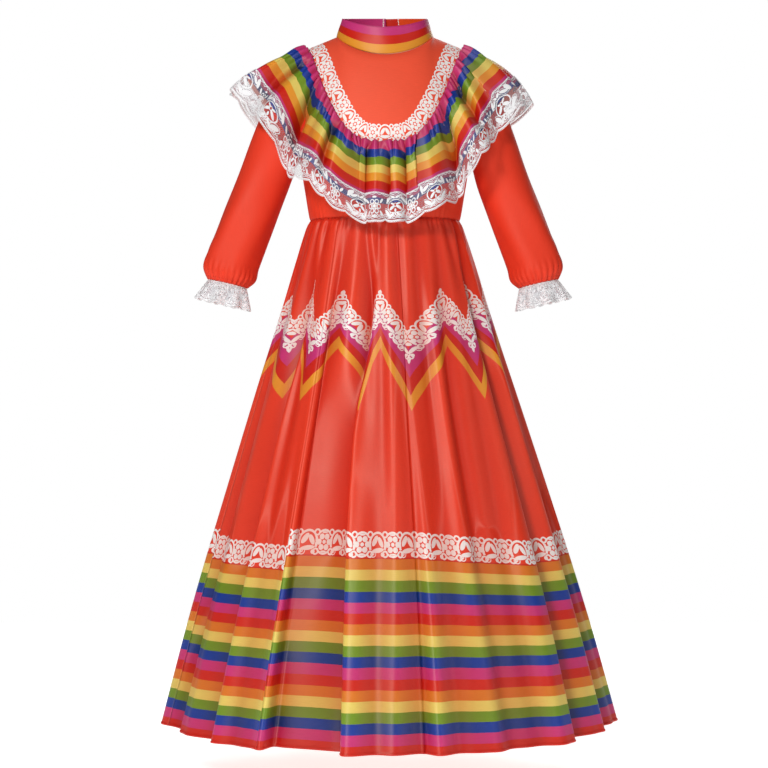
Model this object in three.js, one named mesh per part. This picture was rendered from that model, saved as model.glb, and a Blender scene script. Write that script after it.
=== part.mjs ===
import * as THREE from "three";

// Folklorico dress, open inside and filled out as when it is worn.
// Millimetres, +Z up, the front faces -Y, and +X is the wearer's left.
// The origin lies between the shoulders at the base of the neck, where the dress is held up.

const cloth = 1.2; // wall of each cloth panel
const laceWall = 1.0; // wall of each lace edging
const tape = 1.2; // thickness of the hook-and-loop strips
const seam = 0.3; // space between two sewn pieces
const lapRise = seam + tape + seam + cloth; // how far the outer back edge stands off the inner one

const dress = new THREE.Group();
dress.name = "folklorico_dress";

const mix = THREE.MathUtils.lerp;
const rad = THREE.MathUtils.degToRad;
const deg = THREE.MathUtils.radToDeg;
const clamp = (t) => Math.min(1, Math.max(0, t));
const smooth = (t) => clamp(t) ** 2 * (3 - 2 * clamp(t));
const power = (v, p) => Math.sign(v) * Math.abs(v) ** p;
const move = (p, direction, by) => p.clone().addScaledVector(direction, by);

// A value from a table of sections, straight between its rows.
function read(table, key, at, name) {
  let i = 0;
  while (i < table.length - 2 && Math.abs(at - table[0][key]) > Math.abs(table[i + 1][key] - table[0][key])) i++;
  const [a, b] = [table[i], table[i + 1]];
  return mix(a[name], b[name], (at - a[key]) / (b[key] - a[key]));
}

// A sheet of points in rows, with the normals that walls are raised along.
function sheetOf(columns, rows, point, { wrap = false, side = 1 } = {}) {
  const points = rows.map((row, j) => columns.map((column, i) => point(column, row, i, j)));
  const last = { i: columns.length - 1, j: rows.length - 1 };
  const across = (i, j) => {
    const [before, after] = wrap
      ? [(i + last.i) % (last.i + 1), (i + 1) % (last.i + 1)]
      : [Math.max(0, i - 1), Math.min(last.i, i + 1)];
    return points[j][after].clone().sub(points[j][before]);
  };
  const normals = points.map((row, j) =>
    row.map((_, i) => {
      const along = points[Math.min(last.j, j + 1)][i].clone().sub(points[Math.max(0, j - 1)][i]);
      return across(i, j).cross(along).normalize().multiplyScalar(side);
    }),
  );
  const tangents = points.map((row, j) => row.map((_, i) => across(i, j).normalize()));
  return { points, normals, tangents, wrap, side };
}

// The normal without its part along one axis, lengthened so that the wall keeps its thickness there.
function facing(normal, axis, most = 1.7) {
  const flat = normal.clone();
  flat[axis] = 0;
  const length = Math.max(flat.length(), 1e-6);
  return flat.multiplyScalar(Math.min(most, 1 / length) / length);
}

// Columns first to last of a sheet as a sheet of their own; its two ends stop half a seam short.
function cut(sheet, first, last) {
  const count = sheet.points[0].length;
  const pick = (rows, change) =>
    rows.map((row, j) =>
      Array.from({ length: last - first + 1 }, (_, n) => {
        const i = (first + n) % count;
        const end = n === 0 ? 1 : n === last - first ? -1 : 0;
        return change ? change(row[i], end, j, i) : row[i];
      }),
    );
  return {
    points: pick(sheet.points, (p, end, j, i) => move(p, sheet.tangents[j][i], (end * seam) / 2)),
    normals: pick(sheet.normals),
    tangents: pick(sheet.tangents),
    wrap: false,
    side: sheet.side,
  };
}

// A closed wall on a sheet, between two distances from it, as one named mesh.
function wall(name, sheet, from, to) {
  const { points, normals, wrap, side } = sheet;
  const [rows, columns] = [points.length, points[0].length];
  const position = [];
  for (const distance of [to, from])
    for (let j = 0; j < rows; j++)
      for (let i = 0; i < columns; i++) position.push(...move(points[j][i], normals[j][i], distance));
  const outer = (i, j) => j * columns + (i % columns);
  const inner = (i, j) => rows * columns + outer(i, j);
  const index = [];
  const quad = (a, b, c, d) => (side > 0 ? index.push(a, b, c, a, c, d) : index.push(a, c, b, a, d, c));
  const spans = wrap ? columns : columns - 1;
  for (let j = 0; j < rows - 1; j++)
    for (let i = 0; i < spans; i++) {
      quad(outer(i, j), outer(i + 1, j), outer(i + 1, j + 1), outer(i, j + 1));
      quad(inner(i, j), inner(i, j + 1), inner(i + 1, j + 1), inner(i + 1, j));
    }
  for (let i = 0; i < spans; i++) {
    const top = rows - 1;
    quad(outer(i + 1, 0), outer(i, 0), inner(i, 0), inner(i + 1, 0));
    quad(outer(i, top), outer(i + 1, top), inner(i + 1, top), inner(i, top));
  }
  if (!wrap)
    for (let j = 0; j < rows - 1; j++) {
      const end = columns - 1;
      quad(outer(0, j), outer(0, j + 1), inner(0, j + 1), inner(0, j));
      quad(outer(end, j + 1), outer(end, j), inner(end, j), inner(end, j + 1));
    }
  const geometry = new THREE.BufferGeometry()
    .setAttribute("position", new THREE.Float32BufferAttribute(position, 3))
    .setIndex(index);
  const mesh = new THREE.Mesh(geometry, new THREE.MeshStandardMaterial());
  mesh.name = name;
  dress.add(mesh);
}

// Bodice: a front panel and two back panels on the wearer's form.

const body = [
  { z: -246, half: 103, front: 80, back: 74 },
  { z: -215, half: 109, front: 87, back: 80 },
  { z: -185, half: 114, front: 91, back: 84 },
  { z: -154, half: 118, front: 92, back: 86 },
  { z: -110, half: 121, front: 90, back: 86 },
  { z: -60, half: 123, front: 84, back: 82 },
  { z: 20, half: 124, front: 74, back: 74 },
];
const waist = -246;
const boxy = 0.87; // below 1 the torso's sections are fuller than an ellipse
const neck = { half: 67, front: 57, back: 54, high: 11, frontDrop: 33, backRise: 8, share: 0.6 };
const shoulder = { x: 128, slope: 0.41 };
const armhole = { z: -84, tall: 70, deep: 40, hollow: 14, under: 10 };
const shoulderZ = neck.high - shoulder.slope * (shoulder.x - neck.half);

// The neckline at an angle round the neck: 0 at the front, 90 on the wearer's left, 180 at the back.
function neckline(angle) {
  const [s, c] = [Math.sin(rad(angle)), Math.cos(rad(angle))];
  return c > 0
    ? new THREE.Vector3(neck.half * s, -neck.front * c, neck.high - neck.frontDrop * c ** 1.5)
    : new THREE.Vector3(neck.half * s, -neck.back * c, neck.high - neck.backRise * c);
}

// The top edge of a half panel, from the centre of the neck (0) to the shoulder point (1).
function topEdge(c, front) {
  if (Math.abs(c) <= neck.share) {
    const turn = (c / neck.share) * 90;
    return neckline(front ? turn : 180 - turn);
  }
  const x = mix(neck.half, shoulder.x, (Math.abs(c) - neck.share) / (1 - neck.share));
  return new THREE.Vector3(Math.sign(c) * x, 0, neck.high - shoulder.slope * (x - neck.half));
}

// The armhole at an angle down from the shoulder point (0) to the underarm (180).
function armholeAt(turn) {
  const [s, c] = [Math.sin(rad(turn)), Math.cos(rad(turn))];
  return {
    x: shoulder.x - armhole.hollow * s ** 2 - (armhole.under * (1 - c)) / 2,
    y: armhole.deep * s,
    z: armhole.z + armhole.tall * c,
  };
}

// A point of the bodice: c runs from the centre line to the side, v from the waist to the top.
function bodiceAt(c, v, front) {
  const top = topEdge(c, front);
  const z = mix(waist, top.z, v);
  const sideZ = mix(waist, shoulderZ, v);
  const shrink = Math.sqrt(1 - clamp((v - 0.45) / 0.55) ** 2);
  const face = front ? "front" : "back";
  const cosine = clamp((sideZ - armhole.z) / armhole.tall);
  const turn = deg(Math.acos(Math.max(-1, Math.min(1, (sideZ - armhole.z) / armhole.tall))));
  const hole = sideZ > armhole.z - armhole.tall && cosine >= 0 ? armholeAt(turn) : null;
  const reach = hole ? Math.acos(Math.min(1, hole.y / Math.max(1e-6, read(body, "z", sideZ, face) * shrink)) ** (1 / boxy)) : Math.PI / 2;
  const angle = c * reach;
  const grow = smooth((v - 0.5) / 0.5);
  const widthAt = (height, a) => read(body, "z", height, "half") * power(Math.sin(a), boxy);
  let x = mix(widthAt(z, angle), top.x, grow);
  if (hole) x += (hole.x - mix(widthAt(sideZ, reach), shoulder.x, grow)) * c ** 2 * Math.sign(c);
  const y = mix(read(body, "z", z, face) * power(Math.cos(angle), boxy), Math.abs(top.y), 1 - shrink);
  return new THREE.Vector3(x, front ? -y : y, z);
}

const armSteps = 7; // panel rows from underarm to shoulder point
const levels = [0, 0.14, 0.27];
for (let k = armSteps; k >= 0; k--) levels.push((armholeAt((k * 180) / armSteps).z - waist) / (shoulderZ - waist));
levels[levels.length - 1] = 1;
const underarm = 3; // row of the underarm

// Panel edges stop half a seam short, and their rims lie along the seam they meet.
function fitPanel(sheet, columns, front) {
  const away = front ? -1 : 1;
  sheet.points.forEach((row, j) =>
    row.forEach((p, i) => {
      const edge = Math.abs(Math.abs(columns[i]) - 1) < 1e-9;
      const onShoulder = j === levels.length - 1 && Math.abs(columns[i]) > neck.share - 1e-9;
      const n = sheet.normals[j][i];
      if (j === 0) n.copy(facing(n, "z"));
      if ((edge && j <= underarm) || onShoulder) {
        n.copy(facing(n, "y"));
        p.y = (away * seam) / 2;
      } else if (edge) n.copy(facing(n, "x"));
    }),
  );
  return sheet;
}

const half = [0.3, 0.45, 0.6, 0.7, 0.8, 0.9, 1];
const frontColumns = [...half.map((c) => -c).reverse(), -0.2, -0.1, 0, 0.1, 0.2, ...half];
wall(
  "bodice_front",
  fitPanel(sheetOf(frontColumns, levels, (c, v) => bodiceAt(c, v, true)), frontColumns, true),
  0,
  cloth,
);

const lap = { outer: -0.08, inner: -0.005, from: 0.16, over: 0.14 };
const backPoint = (c, v) => bodiceAt(c, v, false);
const risen = (c) => lapRise * smooth((lap.from - c) / lap.over);

// The wearer's right back is the lower layer and runs just past the centre line.
const rightColumns = [lap.inner, 0.042, 0.09, 0.16, ...half];
const rightBack = fitPanel(
  sheetOf(rightColumns, levels, (c, v) => backPoint(c, v).multiply(new THREE.Vector3(-1, 1, 1)), { side: 1 }),
  rightColumns,
  false,
);
wall("bodice_back_right", rightBack, 0, cloth);

// The wearer's left back laps over it, raised by the closing strips.
const leftColumns = [lap.outer, -0.04, 0, 0.045, 0.09, 0.16, ...half];
const leftSheet = sheetOf(leftColumns, levels, backPoint, { side: -1 });
leftSheet.points.forEach((row, j) =>
  row.forEach((p, i) => {
    const top = j === levels.length - 1;
    p.addScaledVector(top ? new THREE.Vector3(0, 1, 0) : facing(leftSheet.normals[j][i], "z"), risen(leftColumns[i]));
  }),
);
wall("bodice_back_left", fitPanel(leftSheet, leftColumns, false), 0, cloth);

const strip = sheetOf(
  [0.014, 0.05, 0.07],
  levels.slice(0, -2).map((v, j) => (j === 0 ? 0.03 : v)),
  (c, v) => backPoint(c, v).multiply(new THREE.Vector3(-1, 1, 1)),
);
wall("back_fastener", strip, cloth + seam, cloth + seam + tape);

// Collar: a standing band that laps at the back with its own closing strip.

const collar = { half: 59, front: 47, back: 46, high: 38, frontDrop: 19.5, backRise: 9, steps: 44 };
const collarEnds = { inner: -181, outer: 196 };

function collarAt(angle, v) {
  const [s, c] = [Math.sin(rad(angle)), Math.cos(rad(angle))];
  const low = neckline(angle);
  low.z += (cloth + seam) * 1.05;
  const high = new THREE.Vector3(
    collar.half * s,
    -(c > 0 ? collar.front : collar.back) * c,
    collar.high - (c > 0 ? collar.frontDrop * c ** 1.5 : collar.backRise * c),
  );
  const p = low.lerp(high, v);
  const out = risen(((180 - angle) / 90) * neck.share);
  return p.addScaledVector(new THREE.Vector3(s, -c, 0), out);
}

const steps = (from, to, count) => Array.from({ length: count + 1 }, (_, i) => mix(from, to, i / count));
const collarSheet = sheetOf(steps(collarEnds.inner, collarEnds.outer, collar.steps), [0, 0.33, 0.67, 1], collarAt);
collarSheet.normals.forEach((row) => row.forEach((n) => n.copy(facing(n, "z"))));
wall("collar", collarSheet, 0, cloth);
const collarStrip = sheetOf(steps(-178.5, -166.5, 2), [0.1, 0.5, 0.92], collarAt);
collarStrip.normals.forEach((row) => row.forEach((n) => n.copy(facing(n, "z"))));
wall("collar_fastener", collarStrip, cloth + seam, cloth + seam + tape);

// Sleeves: from the armhole down to an elastic cuff, a little bloused above it.

const sleeve = { columns: 28, gap: 0.5, underGap: 2.5, inset: 1.6, cap: 7, crimp: 1.7, crimpTall: 40 };
const sleeveRows = [
  { drop: 102, out: 40, tilt: 21.5, wide: 35, deep: 34, y: 2 },
  { drop: 146, out: 57.5, tilt: 21.5, wide: 35.6, deep: 34, y: -3 },
  { drop: 190, out: 74.5, tilt: 21.5, wide: 36, deep: 34.5, y: -8 },
  { drop: 216, out: 84.3, tilt: 20.5, wide: 36.5, deep: 35, y: -11 },
  { drop: 238, out: 89.6, tilt: 16, wide: 35, deep: 34, y: -13 },
  { drop: 249, out: 91, tilt: 13, wide: 26.5, deep: 26.5, y: -14 },
];

function ringAt(row, angle, hand, add = 0) {
  const t = rad(row.tilt);
  const [wide, deep] = [row.wide + add, row.deep + add];
  return new THREE.Vector3(
    hand.side * (hand.start + row.out + wide * Math.cos(rad(angle)) * Math.cos(t)),
    row.y - deep * Math.sin(rad(angle)),
    armhole.z - row.drop + wide * Math.cos(rad(angle)) * Math.sin(t),
  );
}

// The armhole as the panels meet it: chords between their rows, so every other point lies halfway.
function sleeveStart(i, hand) {
  const at = (k) => {
    const turn = (k * 180) / armSteps;
    const p = armholeAt(turn > 180 ? 360 - turn : turn);
    const gap = sleeve.gap + sleeve.underGap * ((1 - Math.cos(rad(turn))) / 2) ** 3;
    return new THREE.Vector3(hand.side * (p.x + gap), turn > 180 ? p.y : -p.y, p.z);
  };
  const p = i % 2 ? at((i - 1) / 2).lerp(at((i + 1) / 2), 0.5) : at(i / 2);
  const inwards = new THREE.Vector3(0, -p.y, armhole.z - p.z).normalize();
  return p.addScaledVector(inwards, sleeve.inset);
}

function sleevePoint(i, j, hand) {
  const angle = (i * 360) / sleeve.columns;
  if (j < 3) {
    const w = [0, 0.3, 0.65][j];
    const p = sleeveStart(i, hand).lerp(ringAt(sleeveRows[0], angle, hand), w);
    const out = sleeve.cap * Math.sin(Math.PI * w);
    p.x += hand.side * out * Math.max(0, Math.cos(rad(angle)));
    p.y -= 0.6 * out * Math.sin(rad(angle));
    return p;
  }
  const row = sleeveRows[j - 3];
  const near = 1 - smooth((sleeveRows[5].drop - row.drop) / sleeve.crimpTall);
  return ringAt(row, angle, hand, (i % 2 ? -1 : 1) * sleeve.crimp * near);
}

const hands = [
  { name: "left", side: 1, start: 122.5 },
  { name: "right", side: -1, start: 128 },
];
const cuff = { columns: 36, tall: 30, flare: 10, wave: 4, waves: 9, scallop: 2 };
const cuffRows = [0, 0.3, 0.65, 1];

for (const hand of hands) {
  const columns = [...Array(sleeve.columns).keys()];
  const sheet = sheetOf(columns, [...Array(sleeveRows.length + 3).keys()], (i, j) => sleevePoint(i, j, hand), {
    wrap: true,
    side: hand.side,
  });
  sheet.normals[0].forEach((n) => n.copy(facing(n, "x")));
  const end = sleeveRows[sleeveRows.length - 1];
  const down = new THREE.Vector3(hand.side * Math.sin(rad(end.tilt)), 0, -Math.cos(rad(end.tilt)));
  const square = (n) => n.addScaledVector(down, -n.dot(down)).normalize();
  sheet.normals[sheet.normals.length - 1].forEach(square);
  wall("sleeve_" + hand.name, sheet, 0, cloth);

  // Lace frill on the cuff, waved and scalloped.
  const ring = [...Array(cuff.columns).keys()];
  const frill = sheetOf(
    ring,
    cuffRows,
    (i, v) => {
      const angle = (i * 360) / cuff.columns;
      const wave = cuff.wave * v * Math.cos((i / cuff.columns) * cuff.waves * 2 * Math.PI);
      const scallop = (i % 2 ? -0.5 : 0.5) * cuff.scallop * v;
      return ringAt(end, angle, hand, cuff.flare * v ** 0.8 + wave).addScaledVector(
        down,
        seam + 0.1 + (cuff.tall + scallop) * v,
      );
    },
    { wrap: true, side: hand.side },
  );
  frill.normals[0].forEach(square);
  wall("cuff_lace_" + hand.name, frill, 0, laceWall);
}

// Flounce: a straight striped strip gathered onto a seam round the shoulders, with lace on its edge.

const flounceSeam = { half: 112, frontDrop: 138, backDrop: 82, round: 3.3, bow: 1.8, backBow: 1.6 };
const crimps = { amount: 1.5, tall: 20 };
const flounce = { cloth: 90, full: 115, sides: 4, laceTop: 75, scallop: 2.4, spread: 1.1, turn: 3.2 };
const slope = { front: 68, frontEnd: 84, right: 8, rightEnd: 48, left: 12, leftEnd: 70 }; // degrees below level
const troughs = [
  { at: -88, wide: 13, deep: 20, lean: 8 },
  { at: -66, wide: 11, deep: 20, lean: -10 },
  { at: -43, wide: 13, deep: 34, lean: -26 },
  { at: -15, wide: 11, deep: 20, lean: 6 },
  { at: 1, wide: 8, deep: 10, lean: 0 },
  { at: 16, wide: 10, deep: 18, lean: -4 },
  { at: 38, wide: 13, deep: 32, lean: 18 },
  { at: 60, wide: 11, deep: 22, lean: 8 },
  { at: 82, wide: 11, deep: 20, lean: -6 },
  { at: 104, wide: 11, deep: 22, lean: 8 },
  { at: 126, wide: 11, deep: 22, lean: -8 },
  { at: 150, wide: 12, deep: 24, lean: 10 },
  { at: 172, wide: 10, deep: 16, lean: -6 },
  { at: 196, wide: 11, deep: 20, lean: 8 },
  { at: 219, wide: 12, deep: 24, lean: -8 },
  { at: 242, wide: 11, deep: 22, lean: 8 },
];

// How deep and how far sideways the folds of a table carry a point at an angle. A fold that drifts slants as it falls.
function folded(table, angle, fallen = 0) {
  let [inward, sideways] = [0, 0];
  for (const fold of table) {
    const off = ((((angle - fold.at - (fold.drift ?? 0) * fallen) % 360) + 540) % 360) - 180;
    if (Math.abs(off) >= fold.wide) continue;
    const amount = Math.cos((off / fold.wide) * 90 * (Math.PI / 180)) ** 2;
    inward += fold.deep * amount;
    sideways += fold.lean * amount;
  }
  return { inward, sideways };
}

// The seam line on the bodice, and the bodice's own normal there.
function seamAt(angle) {
  const [s, c] = [Math.sin(rad(angle)), Math.cos(rad(angle))];
  const front = c > 0;
  const drop = front
    ? flounceSeam.frontDrop * clamp(1 - Math.abs(s) ** flounceSeam.round) ** flounceSeam.bow
    : flounceSeam.backDrop * Math.abs(c) ** flounceSeam.backBow;
  const z = neck.high - shoulder.slope * (flounceSeam.half - neck.half) - drop;
  const on = (share, height) => {
    const v = clamp((height - waist) / (topEdge(share, front).z - waist));
    return bodiceAt(share, v, front);
  };
  const wanted = flounceSeam.half * Math.abs(s);
  let [low, high] = [0, 1];
  for (let n = 0; n < 30; n++) {
    const middle = (low + high) / 2;
    if (on(middle, z).x < wanted) low = middle;
    else high = middle;
  }
  const p = on(low, z);
  const across = on(Math.min(1, low + 0.02), z).sub(on(Math.max(0, low - 0.02), z));
  const up = on(low, Math.min(z + 3, topEdge(low, front).z)).sub(on(low, z - 6));
  const normal = across.cross(up).normalize();
  if (!front) normal.negate();
  const hand = s < 0 ? new THREE.Vector3(-1, 1, 1) : new THREE.Vector3(1, 1, 1);
  return { point: p.multiply(hand), normal: normal.multiply(hand), share: low };
}

// Columns spaced evenly along the seam: the front piece, then the two back pieces.
function even(from, to, count) {
  const fine = steps(from, to, count * 6).map((angle) => ({ angle, point: seamAt(angle).point }));
  const lengths = [0];
  for (let i = 1; i < fine.length; i++) lengths.push(lengths[i - 1] + fine[i].point.distanceTo(fine[i - 1].point));
  const total = lengths[lengths.length - 1];
  return steps(0, total, count).map((want) => {
    let i = 1;
    while (i < lengths.length - 1 && lengths[i] < want) i++;
    return mix(fine[i - 1].angle, fine[i].angle, (want - lengths[i - 1]) / (lengths[i] - lengths[i - 1]));
  });
}
const counts = { front: 80, backLeft: 36, backRight: 28 };
const backSplit = 188.6; // the outer back edge
const flounceAngles = [
  ...even(-90, 90, counts.front).slice(0, -1),
  ...even(90, backSplit, counts.backLeft).slice(0, -1),
  ...even(backSplit, 270, counts.backRight).slice(0, -1),
];
const seamPoints = flounceAngles.map(seamAt);

function flouncePoint(i, reach, onLace) {
  const angle = flounceAngles[i];
  const [s, c] = [Math.sin(rad(angle)), Math.cos(rad(angle))];
  const behind = angle > 90 && angle < 270;
  const overLap = behind ? (angle < 180 ? risen(seamPoints[i].share) : lapRise * (1 - smooth((angle - 190) / 12))) : 0;
  const crimp = crimps.amount * (1 + (i % 2 ? -1 : 1));
  const fade = 1 - smooth(reach / crimps.tall);
  const start = move(seamPoints[i].point, seamPoints[i].normal, cloth + seam + overLap + crimp * fade);
  const edge = onLace && reach > flounce.cloth;
  const length = edge
    ? reach + flounce.sides * s ** 2 + flounce.scallop * Math.cos((i / 4) * 2 * Math.PI)
    : reach;
  const turn = Math.abs(s) ** flounce.turn;
  const hand = s > 0 ? "left" : "right";
  const first = mix(slope.front, slope[hand], turn);
  const last = mix(slope.frontEnd, slope[hand + "End"], turn);
  const fall = rad(first + ((last - first) * length) / (2 * flounce.full));
  const out = new THREE.Vector3(s, -c, 0);
  const p = start
    .addScaledVector(out, length * Math.cos(fall))
    .addScaledVector(new THREE.Vector3(0, 0, -1), length * Math.sin(fall));
  const amount = (length / flounce.full) ** flounce.spread;
  const { inward, sideways } = folded(troughs, angle);
  const proud = out.clone().multiplyScalar(Math.sin(fall)).add(new THREE.Vector3(0, 0, Math.cos(fall)));
  return p
    .addScaledVector(proud, (9 - inward) * amount)
    .addScaledVector(new THREE.Vector3(c, s, 0), sideways * amount);
}

const flounceIndex = [...Array(flounceAngles.length).keys()];
const flounceRows = [0, 8, 26, 50, flounce.laceTop, flounce.cloth, flounce.full];
const whole = sheetOf(flounceIndex, flounceRows, (i, reach) => flouncePoint(i, reach, true), { wrap: true, side: -1 });
const rowsOf = (sheet, first, last) => ({
  ...sheet,
  points: sheet.points.slice(first, last + 1),
  normals: sheet.normals.slice(first, last + 1),
  tangents: sheet.tangents.slice(first, last + 1),
});
const strips = [
  { name: "front", first: 0, count: counts.front },
  { name: "back_left", first: counts.front, count: counts.backLeft },
  { name: "back_right", first: counts.front + counts.backLeft, count: counts.backRight },
];
for (const { name, first, count } of strips) {
  const piece = cut(whole, first, first + count);
  wall("flounce_" + name, rowsOf(piece, 0, 5), 0, cloth);
  wall("flounce_lace_" + name, rowsOf(piece, 4, 6), cloth + seam, cloth + seam + laceWall);
}

// Skirt: eight flared gores from the waist to the hem, falling in deep folds.

const skirt = [
  { z: -246.3, half: 103.4, front: 80.6, back: 74.6, shift: 0, boxy: 0.87 },
  { z: -262, half: 109.5, front: 86, back: 80, shift: 0, boxy: 0.88 },
  { z: -300, half: 122, front: 97, back: 90, shift: 0.5, boxy: 0.91 },
  { z: -370, half: 143.5, front: 116, back: 109, shift: 1, boxy: 0.95 },
  { z: -480, half: 178, front: 145, back: 138, shift: 2, boxy: 1 },
  { z: -620, half: 221, front: 184, back: 176, shift: 3.5, boxy: 1 },
  { z: -780, half: 269, front: 229, back: 219, shift: 5, boxy: 1 },
  { z: -942, half: 313, front: 272, back: 262, shift: 6, boxy: 1 },
];
const skirtFolds = [
  { at: -74, wide: 8, deep: 22, lean: 16 },
  { at: -51, wide: 7.5, deep: 26, lean: 26, drift: -4 },
  { at: -40, wide: 7, deep: 9, lean: 0 },
  { at: -25, wide: 7, deep: 25, lean: -24, drift: -1 },
  { at: -10.5, wide: 7.5, deep: 32, lean: 26, drift: -8 },
  { at: 7, wide: 6, deep: 12, lean: 8 },
  { at: 18, wide: 5.5, deep: 7, lean: 0 },
  { at: 32, wide: 8, deep: 12, lean: -4 },
  { at: 58, wide: 7.5, deep: 26, lean: -24 },
  { at: 76, wide: 8, deep: 22, lean: -12 },
  { at: 95, wide: 8, deep: 22, lean: 12 },
  { at: 113, wide: 8, deep: 26, lean: -22 },
  { at: 132, wide: 8, deep: 26, lean: 22 },
  { at: 151, wide: 8, deep: 24, lean: -16 },
  { at: 170, wide: 8, deep: 28, lean: 20 },
  { at: 189, wide: 8, deep: 22, lean: -16 },
  { at: 208, wide: 8, deep: 28, lean: 22 },
  { at: 227, wide: 8, deep: 22, lean: -14 },
  { at: 246, wide: 8, deep: 26, lean: 20 },
  { at: 266, wide: 8, deep: 22, lean: -12 },
];
const gores = { count: 8, columns: 22, start: 7 };
const gather = { amount: 1.5, tall: 70 };
const slant = { from: -320, tall: 230 }; // the levels between which folds drift
const hem = skirt[skirt.length - 1];

function skirtAt(angle, row, ripple = 0) {
  const [s, c] = [Math.sin(rad(angle)), Math.cos(rad(angle))];
  const scale = (row.half / hem.half) * smooth((waist - row.z + 12) / 190);
  const { inward, sideways } = folded(skirtFolds, angle, smooth((slant.from - row.z) / slant.tall));
  const depth = c > 0 ? row.front : row.back;
  const out = new THREE.Vector3(s / row.half, -c / depth, 0).normalize();
  const along = new THREE.Vector3(-out.y, out.x, 0);
  return new THREE.Vector3(row.shift + row.half * power(s, row.boxy), -depth * power(c, row.boxy), row.z)
    .addScaledVector(out, ripple - inward * scale)
    .addScaledVector(along, sideways * scale);
}

// Columns evenly spaced along the folded hem, so that every gore holds the same width of cloth.
function hemAngles(count, from) {
  const fine = steps(from, from + 360, 1440).map((angle) => ({ angle, point: skirtAt(angle, hem) }));
  const lengths = [0];
  for (let i = 1; i < fine.length; i++) lengths.push(lengths[i - 1] + fine[i].point.distanceTo(fine[i - 1].point));
  return steps(0, lengths[lengths.length - 1], count)
    .slice(0, -1)
    .map((want) => {
      let i = 1;
      while (lengths[i] < want) i++;
      return mix(fine[i - 1].angle, fine[i].angle, (want - lengths[i - 1]) / (lengths[i] - lengths[i - 1]));
    });
}

const skirtSheet = sheetOf(
  hemAngles(gores.count * gores.columns, gores.start),
  skirt,
  (angle, row, i) =>
    skirtAt(angle, row, gather.amount * Math.cos((i / 4) * 2 * Math.PI) * (1 - smooth((waist - row.z) / gather.tall))),
  { wrap: true, side: -1 },
);
skirtSheet.normals[0].forEach((n) => n.copy(facing(n, "z")));
for (let g = 0; g < gores.count; g++)
  wall("skirt_gore_" + (g + 1), cut(skirtSheet, g * gores.columns, (g + 1) * gores.columns), 0, cloth);

export default dress;
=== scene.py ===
# Folklorico dress: cloth shells, prints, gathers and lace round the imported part.
# Sizes are the part's own, in millimetres, and become metres where a mesh is made.

import bpy
import math
import numpy as np
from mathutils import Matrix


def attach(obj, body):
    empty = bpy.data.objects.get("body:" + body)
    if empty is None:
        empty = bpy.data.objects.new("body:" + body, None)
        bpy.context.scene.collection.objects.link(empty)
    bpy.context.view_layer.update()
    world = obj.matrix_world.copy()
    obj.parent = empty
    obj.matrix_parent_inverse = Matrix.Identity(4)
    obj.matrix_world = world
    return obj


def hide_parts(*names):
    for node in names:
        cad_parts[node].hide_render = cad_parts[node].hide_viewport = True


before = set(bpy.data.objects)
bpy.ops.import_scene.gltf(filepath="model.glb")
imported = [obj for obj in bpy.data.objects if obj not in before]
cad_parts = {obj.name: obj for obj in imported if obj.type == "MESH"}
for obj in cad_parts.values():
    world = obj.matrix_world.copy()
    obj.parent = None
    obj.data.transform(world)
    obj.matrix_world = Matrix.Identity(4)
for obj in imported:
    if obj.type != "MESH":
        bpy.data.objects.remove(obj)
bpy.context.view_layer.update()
mm = 0.001
metre = 1000
tau = 2 * math.pi
print("frame loaded:", len(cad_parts), "nodes")


# Camera, lights and floor

studio = {
    "eye": (-0.0014, -2.700, -0.473), "lens": 90.4, "sensor": 36.0,
    "aim": (0, 0, -0.45),  # where every lamp points
    "floorZ": -1.02, "floorHalf": 1.7, "floorPaint": (0.9, 0.9, 0.9, 1), "floorGlow": 0.72,
    "surround": 0.08,  # light from all round; the surround itself shows white
    "key": {"at": (-1.1, -2.9, 1.0), "size": 0.6, "watts": 80},
    "fill": {"at": (2.1, -2.2, 0.1), "size": 1.2, "watts": 9},
    "back": {"at": (0.7, 2.5, 1.2), "size": 1.8, "watts": 46},
}
white = (1, 1, 1, 1)


def added(name, data):
    made = bpy.data.objects.new(name, data)
    bpy.context.collection.objects.link(made)
    return made


def addCamera():
    lens = bpy.data.cameras.new("view")
    lens.lens, lens.sensor_width = studio["lens"], studio["sensor"]
    camera = added("view", lens)
    camera.location = studio["eye"]
    camera.rotation_euler = (math.pi / 2, 0, 0)
    bpy.context.scene.camera = camera


def addLight(name, at, size, watts):
    lamp = bpy.data.lights.new(name, "AREA")
    lamp.size, lamp.energy = size, watts
    light = added(name, lamp)
    light.location = at
    x, y, z = np.array(studio["aim"]) - np.array(at)
    light.rotation_euler = (math.atan2(math.hypot(x, y), -z), 0, math.atan2(y, x) - math.pi / 2)


def addSurround():
    world = bpy.data.worlds.new("studio")
    world.use_nodes = True
    tree = world.node_tree
    soft = tree.nodes["Background"]
    soft.inputs["Color"].default_value = white
    soft.inputs["Strength"].default_value = studio["surround"]
    shown = tree.nodes.new("ShaderNodeBackground")
    both = tree.nodes.new("ShaderNodeMixShader")
    rays = tree.nodes.new("ShaderNodeLightPath")
    tree.links.new(rays.outputs["Is Camera Ray"], both.inputs[0])
    tree.links.new(soft.outputs[0], both.inputs[1])
    tree.links.new(shown.outputs[0], both.inputs[2])
    shown.inputs["Color"].default_value = white
    tree.links.new(both.outputs[0], tree.nodes["World Output"].inputs["Surface"])
    bpy.context.scene.world = world
    bpy.context.scene.view_settings.view_transform = "Standard"


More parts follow.
